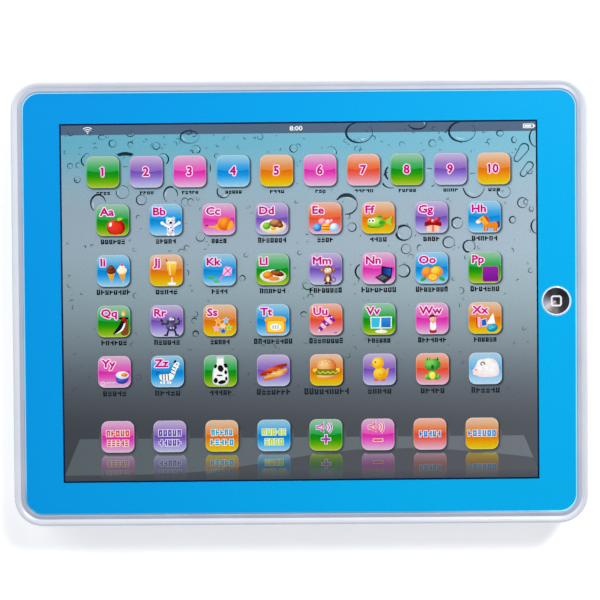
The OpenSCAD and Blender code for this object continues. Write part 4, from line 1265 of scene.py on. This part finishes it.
def duck(a):
    a.ovals([(-1.4, -4.4), (1.6, -4.4)], 1.1, 0.6, CORAL)
    a.ball(0.4, -1.8, 3.0, 2.6, YELLOW, (230, 160, 10))
    a.blob([(2.6, -0.6), (4.0, 0.6), (3.2, -2.6)], AMBER)
    a.ball(-0.6, 2.6, 2.5, 2.4, (255, 226, 80), (238, 170, 20))
    a.blob([(0.2, 4.6), (1.0, 5.5), (1.2, 4.2)], AMBER)
    a.blob([(-2.8, 2.2), (-4.2, 1.7), (-2.8, 1.3)], ORANGE)
    a.oval(-1.6, 3.0, 0.3, 0.38, BLACK)
    a.arc(0.8, -1.4, 1.3, 1.0, 0.3, 190, 170, ORANGE)


def frog(a):
    for s in (-1, 1):
        a.ball(s * 2.2, -3.3, 1.2, 1.0, LIME, GREEN)
        a.oval(s * 1.6, -4.3, 1.1, 0.35, GREEN)
        a.ball(s * 1.8, 3.9, 1.0, 1.0, LIME, GREEN)
        a.oval(s * 1.8, 4.1, 0.6, 0.6, DARK_GREEN)
        a.oval(s * 1.65, 4.3, 0.2, 0.2, WHITE)
    a.ball(0, -2.6, 2.0, 1.9, LIME, GREEN)
    a.ball(0, -2.8, 1.3, 1.5, (252, 240, 130), YELLOW)
    a.ball(0, 1.7, 3.5, 2.5, (130, 210, 90), (40, 140, 50))
    a.oval(0, 0.8, 0.6, 0.9, DARK_GREEN)
    a.ovals([(-0.5, 2.2), (0.5, 2.2)], 0.16, 0.16, DARK_GREEN)


def sheep(a):
    a.blob([(-5.7, -1.6), (-4.6, 0.2), (-3.2, 2.6), (-0.6, 4.0), (2.6, 4.1), (4.8, 2.6), (5.7, -0.4),
            (5.2, -2.8), (2.4, -3.6), (-2.2, -3.5), (-4.2, -2.6)], (244, 226, 226))
    for x, y, r in ((-1.6, 1.8, 2.0), (1.4, 2.0, 2.1), (3.4, 0.4, 2.0), (0.6, -0.8, 2.4), (-2.2, -0.6, 2.0),
                    (3.0, -1.6, 1.8)):
        a.ball(x, y, r, r, WHITE, (246, 232, 234))
    a.blob([(-5.6, -1.4), (-4.4, 0.2), (-2.8, -0.4), (-3.4, -2.4), (-4.8, -2.6)], (250, 226, 222))
    a.arc(-1.1, 1.9, 0.8, 0.7, 0.5, 330, 280, BROWN)
    a.oval(-4.0, -0.7, 0.22, 0.28, BLACK)
    a.oval(-5.3, -1.7, 0.35, 0.28, (226, 120, 130))


# ---------------------------------------------------------------- legends on the mode keys

# The strokes of the marks that stand for letters, on a square from (0, 0) to (1, 1)
MARKS = [
    [(0, 0, 0, 1), (1, 0, 1, 1), (0, 0, 1, 0), (0, 1, 1, 1)],
    [(0, 0, 0, 1), (1, 0, 1, 1), (0, 1, 1, 1)],
    [(0, 0, 0, 1), (1, 0, 1, 1), (0, 0, 1, 0)],
    [(0, 0, 1, 0), (0, 0.5, 1, 0.5), (0, 1, 1, 1)],
    [(0, 0, 0, 1), (0, 0.5, 1, 0.5)],
    [(1, 0, 1, 1), (0, 0.5, 1, 0.5)],
]
MARK_PITCH = 0.8        # about how far apart marks stand, for each millimetre of their height
MARK_SHARE = 0.78       # of that distance which a mark takes
STROKE_SHARE = 0.25     # of a mark's height which a stroke is wide
LEGEND_H = 2.5
LEGEND_HALO = 0.5       # how much wider a legend's halo is than its strokes


def draw_marks(art, x, y, length, height, paint, dice, wide=0.0):
    """A row of blocky marks, centred at (x, y), that stands for a printed word."""
    count = max(round(length / (height * MARK_PITCH)), 2)
    pitch = length / count
    stroke = height * STROKE_SHARE
    w, h = pitch * MARK_SHARE - stroke, height - stroke
    for k in range(count):
        left = x - length / 2 + pitch * (k + (1 - MARK_SHARE) / 2) + stroke / 2
        for x0, y0, x1, y1 in dice.choice(MARKS):
            line = []
            for px, py, way in ((x0, y0, -1), (x1, y1, 1)):
                past = way * (stroke + wide) / 2
                line += [left + px * w + past * (x0 != x1), y - h / 2 + py * h + past * (y0 != y1)]
            art.bar(*line, stroke + wide, paint)


def legend(seed, *rows):
    """A function that draws rows of marks, each given by its height on the key and its length."""
    def draw(art, ink, wide):
        dice = random.Random(seed)
        for y, length in rows:
            draw_marks(art, 0, y, length, LEGEND_H, ink, dice, wide)
    return draw


def speaker(art, ink, wide):
    """A loudspeaker with three sound waves. WIDE is more than 0 for its halo."""
    w = wide / 2
    cabinet = [(-4.0 - w, 3.8 + w), (-2.8, 3.8 + w), (-1.0 + w, 5.2 + w), (-1.0 + w, 1.0 - w),
               (-2.8, 2.4 - w), (-4.0 - w, 2.4 - w)]
    art.shape(cabinet, ink)
    if not wide:
        art.shape([(-3.6, 3.4), (-2.6, 3.4), (-1.4, 4.3), (-1.4, 1.9), (-2.6, 2.8), (-3.6, 2.8)], ROSE)
    for reach in (1.0, 2.0, 3.0):
        art.arc(-0.6, 3.1, reach, reach, 0.4 + wide, -52, 104, ink)


def louder(art, ink, wide):
    speaker(art, ink, wide)
    reach = 1.9 + wide / 2
    art.bar(-reach, -1.8, reach, -1.8, 0.9 + wide, ink)
    art.bar(0, -1.8 - reach, 0, -1.8 + reach, 0.9 + wide, ink)


def softer(art, ink, wide):
    speaker(art, ink, wide)
    art.bar(-1.9 - wide / 2, -2.4, 1.9 + wide / 2, -2.4, 0.8 + wide, ink)


# ---------------------------------------------------------------- the keys

# Each block of keys: the middle of its first row, how far apart its keys are, and how far apart its rows
NUMBER_X, NUMBER_Y, NUMBER_PITCH = -0.25, 55.15, 18.09
PICTURE_X, PICTURE_Y, PICTURE_PITCH, PICTURE_ROW = -0.35, 35.15, 22.13, 21.1
MODE_X, MODE_Y, MODE_PITCH = -0.6, -55.35, 21.74

# The plate of each number key, and the length of the word mark below it
NUMBER_PLATES = "green purple pink blue orange pink coral green purple orange".split()
NUMBER_WORDS = [6.0, 6.0, 7.0, 7.0, 6.2, 4.6, 8.0, 7.4, 6.4, 5.2]
# Letters, plate, picture, and the length of the word mark below
PICTURE_KEYS = [
    [("Aa", "green", fruit, 10.3), ("Bb", "blue", bear, 8.6), ("Cc", "pink", cap, 6.5),
     ("Dd", "purple", dinner, 12), ("Ee", "coral", eggs, 6.8), ("Ff", "orange", fish, 7.3),
     ("Gg", "purple", gift, 7.1), ("Hh", "blue", horse, 10.9)],
    [("Ii", "blue", cones, 14.3), ("Jj", "orange", juice, 9.3), ("Kk", "blue", kite, 6.9),
     ("Ll", "green", lunch, 11), ("Mm", "purple", monkey, 13.8), ("Nn", "pink", notebook, 14.8),
     ("Oo", "blue", oranges, 13.6), ("Pp", "green", purple_square, 12.3)],
    [("Qq", "green", queen, 10.9), ("Rr", "purple", robot, 11), ("Ss", "orange", stars, 8.2),
     ("Tt", "blue", telephone, 16.3), ("Uu", "coral", umbrella, 14.4), ("Vv", "green", screens, 9.7),
     ("Ww", "pink", waiter, 12.1), ("Xx", "orange", films, 9.7)],
    [("Yy", "pink", yoyo, 10), ("Zz", "blue", zebra, 10.9), ("", "green", milk, 9.4),
     ("", "purple", hot_dog, 14.4), ("", "orange", hamburger, 19), ("", "purple", duck, 10.2),
     ("", "coral", frog, 10.3), ("", "sky", sheep, 12.2)],
]
# Name, plate, legend, and the colours of its ink and its halo
MODE_KEYS = [
    ("letters", "pink", legend(1, (1.4, 9.9), (-2.7, 9.1)), (222, 84, 50), (255, 226, 236)),
    ("words", "purple", legend(2, (1.4, 9.7), (-2.7, 9.5)), (84, 62, 168), (236, 230, 250)),
    ("spelling", "orange", legend(3, (1.4, 9.2), (-2.7, 9.9)), (10, 160, 214), (250, 240, 220)),
    ("asking", "blue", legend(4, (1.4, 10.2), (-2.7, 8.0)), (188, 214, 60), (236, 246, 226)),
    ("louder", "green", louder, (168, 60, 178), (246, 236, 250)),
    ("softer", "pink", softer, (206, 62, 66), (252, 232, 240)),
    ("demonstration", "coral", legend(5, (0.1, 9.2)), (30, 132, 214), (250, 232, 226)),
    ("power", "orange", legend(6, (0.1, 12.0)), (30, 140, 220), (250, 236, 214)),
]
NUMBER_WORD_H = 1.9     # heights of the word marks: below the numbers, the pictures and the last row of those
WORD_H = 2.2
LAST_WORD_H = 2.6
LETTER_HALO_W = 0.4


def key_x(k, count, middle, pitch):
    """The middle of key K in a row of COUNT keys."""
    return middle + (k - (count - 1) / 2) * pitch


def word_ink(x, y):
    """Dark ink that shows less against the dark foot of the screen."""
    return mix(screen_tone(x, y), (8, 16, 26), 0.96 - 0.3 * smooth((-10 - y) / 25))


def make_number_keys(words):
    """The keys 1 to 10, and their word marks. Each 1 has a flag with a halo of its own."""
    dice = random.Random(11)
    for k, (tones, length) in enumerate(zip(NUMBER_PLATES, NUMBER_WORDS)):
        x = key_x(k, len(NUMBER_PLATES), NUMBER_X, NUMBER_PITCH)
        art = Artwork(x, NUMBER_Y)
        draw_shadow(art)
        draw_plate(art, PLATES[tones])
        numeral = str(k + 1)
        flag_x = {"1": -0.1, "10": -1.55}.get(numeral)
        if flag_x is not None:
            art.bar(flag_x + 0.3, 1.9, flag_x - 1.1, 1.0, 1.4, LETTER_HALO)
        art.write(numeral, -0.1, -1.85, 3.85, LETTER_INK, LETTER_HALO, LETTER_HALO_W)
        if flag_x is not None:
            art.bar(flag_x, 1.75, flag_x - 0.9, 1.15, 0.6, LETTER_INK)
        art.build("key_number_" + numeral, KEY_LEVEL)
        draw_marks(words, x + 0.1, NUMBER_Y - 8.5, length, NUMBER_WORD_H, word_ink, dice)


def make_picture_keys(words):
    """The keys with pictures, and letters beside them where they have any, and their word marks."""
    dice = random.Random(23)
    for r, keys in enumerate(PICTURE_KEYS):
        word_h = LAST_WORD_H if keys is PICTURE_KEYS[-1] else WORD_H
        y = PICTURE_Y - r * PICTURE_ROW
        for c, (letters, tones, picture, length) in enumerate(keys):
            x = key_x(c, len(keys), PICTURE_X, PICTURE_PITCH)
            art = Artwork(x, y)
            draw_shadow(art)
            draw_plate(art, PLATES[tones])
            picture(art)
            if letters:
                art.write(letters, -5.3, 1.75, 3.35, LETTER_INK, LETTER_HALO, LETTER_HALO_W,
                          stretch=1.18, centred=False)
            art.build("key_" + picture.__name__, KEY_LEVEL)
            draw_marks(words, x, y - 8.9, length, word_h, word_ink, dice)


def draw_mode_key(art, tones, mark, ink, halo):
    """A plate and its legend, which is drawn wide in the halo's colour and then in its own."""
    draw_plate(art, PLATES[tones])
    mark(art, halo, LEGEND_HALO)
    mark(art, ink, 0.0)


MIRROR_GAP = 0.4        # from a mode key's foot down to the line that it is mirrored in
MIRROR_REACH = 11       # how far below that line the reflection fades out
MIRROR_NEAR, MIRROR_FAR = 0.46, 0.03    # its strength: what it has more at the line, and what stays below


def make_mode_keys():
    """The keys along the foot, which stand on the shelf, and their reflections in it."""
    for k, (name, *looks) in enumerate(MODE_KEYS):
        x = key_x(k, len(MODE_KEYS), MODE_X, MODE_PITCH)
        art = Artwork(x, MODE_Y)
        draw_shadow(art, 0.5)
        draw_mode_key(art, *looks)
        art.build("key_mode_" + name, KEY_LEVEL)

        glass = Artwork(x, MODE_Y)
        glass.flip = -PLATE_D / 2 - MIRROR_GAP

        def tint(px, py, colour, x=x, top=glass.flip):
            strength = MIRROR_NEAR * (1 - smooth((top - py) / MIRROR_REACH)) + MIRROR_FAR
            return mix(shelf_tone(x + px, MODE_Y + py), colour, strength)

        glass.tint = tint
        draw_mode_key(glass, *looks)
        glass.flip = None
        glass.shape(box_points(-9, -24, 9, SCREEN[1] + OUTLINE_W + 0.2 - MODE_Y), None)
        glass.build("reflection_" + name, DROP_LEVEL)


make_border()
make_rings()
make_screen()
make_status_bar()
make_shelf()
make_drops()
for make_keys, words_name in ((make_number_keys, "print_number_words"),
                              (make_picture_keys, "print_picture_words")):
    key_words = Artwork()
    make_keys(key_words)
    key_words.build(words_name, WORD_LEVEL)
make_mode_keys()


# ---------------------------------------------------------------- the home button's mark

BUTTON_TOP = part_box("home_button")[1].z / MM
DISH_R = 40.0           # the dished face's radius, and how deep it is in the middle
DISH_DEPTH = 0.3
MARK_SIZE, MARK_R = 4.65, 1.15
MARK_HOLE, MARK_HOLE_R = 3.15, 0.5


def dish(x, y):
    """Height of the button's dished face."""
    return BUTTON_TOP - DISH_DEPTH + DISH_R - math.sqrt(DISH_R ** 2 - (x - HOME_X) ** 2 - y ** 2)


def make_button_mark():
    """A plain rounded square's outline, printed on the button."""
    art = Artwork(HOME_X, 0)
    art.shape(rounded_points(0, 0, MARK_SIZE, MARK_SIZE, MARK_R), (236, 236, 240))
    art.shape(rounded_points(0, 0, MARK_HOLE, MARK_HOLE, MARK_HOLE_R), None)
    mark = art.build("home_button_mark", body="home_button", surface=dish)


make_button_mark()


# ---------------------------------------------------------------- floor, light and camera

FLOOR_SIDE = 3000       # from its middle to each edge
FLOOR_Z = -0.2
FLOOR_LAP = 4           # how far the floor reaches in under the toy
FLOOR_HOLE_R = 9


def make_floor():
    """A pale floor, open under the toy so that light reaches its underside, and bright far away."""
    low, high = cad_box
    hole = rounded_points(0, 0, (high.x - low.x) / MM - 2 * FLOOR_LAP,
                          (high.y - low.y) / MM - 2 * FLOOR_LAP, FLOOR_HOLE_R)
    rim = [(x * FLOOR_SIDE / max(abs(x), abs(y)), y * FLOOR_SIDE / max(abs(x), abs(y))) for x, y in hole]
    count = len(hole)
    faces = [(k, k + count, (k + 1) % count + count, (k + 1) % count) for k in range(count)]
    paper = Finish("floor_paper", 0.9, Specular_IOR_Level=0.1)
    paper.colour(paper.ramp(paper.noise(40, 2), (0.3, (250, 250, 251)), (0.7, (253, 253, 254))))
    away = paper.add("VectorMath", {0: paper.place}, operation="LENGTH").outputs["Value"]
    glow = paper.add("MapRange", {"Value": away, "From Min": 0.2, "From Max": 1.6, "To Min": 0.36,
                                  "To Max": 0.85})
    paper.feed(paper.surface.inputs["Emission Color"], (1, 1, 1, 1))
    paper.feed(paper.surface.inputs["Emission Strength"], glow.outputs["Result"])
    underside = paper.add("NewGeometry").outputs["Backfacing"]
    clear = paper.add("BsdfTransparent").outputs[0]
    one_sided = paper.add("MixShader", {0: underside, 1: paper.surface.outputs[0], 2: clear})
    paper.feed(paper.tree.nodes["Material Output"].inputs["Surface"], one_sided.outputs[0])
    floor = add_mesh("floor", [(x, y, FLOOR_Z) for x, y in hole + rim], faces, paper.material)


LAMP_TARGET = Vector((0, 0, 0.01))


def make_lamp(name, place, size, power, tone):
    """A round soft lamp that points at the toy."""
    lamp = bpy.data.lights.new(name, "AREA")
    lamp.shape = "DISK"
    lamp.size = size
    lamp.energy = power
    lamp.color = tone
    holder = add_object(name, lamp)
    holder.location = place
    holder.rotation_euler = (LAMP_TARGET - Vector(place)).to_track_quat("-Z", "Y").to_euler()


# The studio's light: how high up, from 0 to 1, and its colour there
STUDIO = [(0.0, (0.86, 0.88, 0.92, 1)), (0.9, (0.2, 0.21, 0.22, 1))]


def make_world():
    """A pale studio that is dimmer overhead, so that it doesn't veil the glossy face."""
    world = bpy.data.worlds.new("studio")
    bpy.context.scene.world = world
    world.use_nodes = True
    tree = world.node_tree
    place, split, ramp = (tree.nodes.new("ShaderNode" + kind)
                          for kind in ("TexCoord", "SeparateXYZ", "ValToRGB"))
    for element, (height, colour) in zip(ramp.color_ramp.elements, STUDIO):
        element.position = height
        element.color = colour
    tree.links.new(place.outputs["Generated"], split.inputs[0])
    tree.links.new(split.outputs["Z"], ramp.inputs[0])
    tree.links.new(ramp.outputs[0], tree.nodes["Background"].inputs["Color"])


CAMERA_LENS = 85
CAMERA_AWAY = 0.591             # from the film, along the camera's line of sight
CAMERA_TARGET = Vector((0.00004, 0.00112, FACE_Z * MM))
CAMERA_TILT = math.radians(1.13)
CAMERA_TURN = math.radians(0.4)


def make_camera():
    """A camera above the toy, leaning a little from square."""
    data = bpy.data.cameras.new("camera")
    data.lens = CAMERA_LENS
    data.sensor_width = 36
    camera = add_object("camera", data)
    back = Vector((0, math.sin(CAMERA_TILT), math.cos(CAMERA_TILT)))
    camera.location = CAMERA_TARGET + CAMERA_AWAY * back
    camera.rotation_euler = (-CAMERA_TILT, 0, -CAMERA_TURN)
    bpy.context.scene.camera = camera


make_floor()
make_world()
make_lamp("key", (0.5, 0.74, 1.06), size=0.5, power=16, tone=(1.0, 0.99, 0.97))
make_lamp("fill", (-0.75, 0.55, 0.95), size=0.8, power=4, tone=(0.96, 0.98, 1.0))
make_camera()
bpy.context.scene.view_settings.view_transform = "Standard"
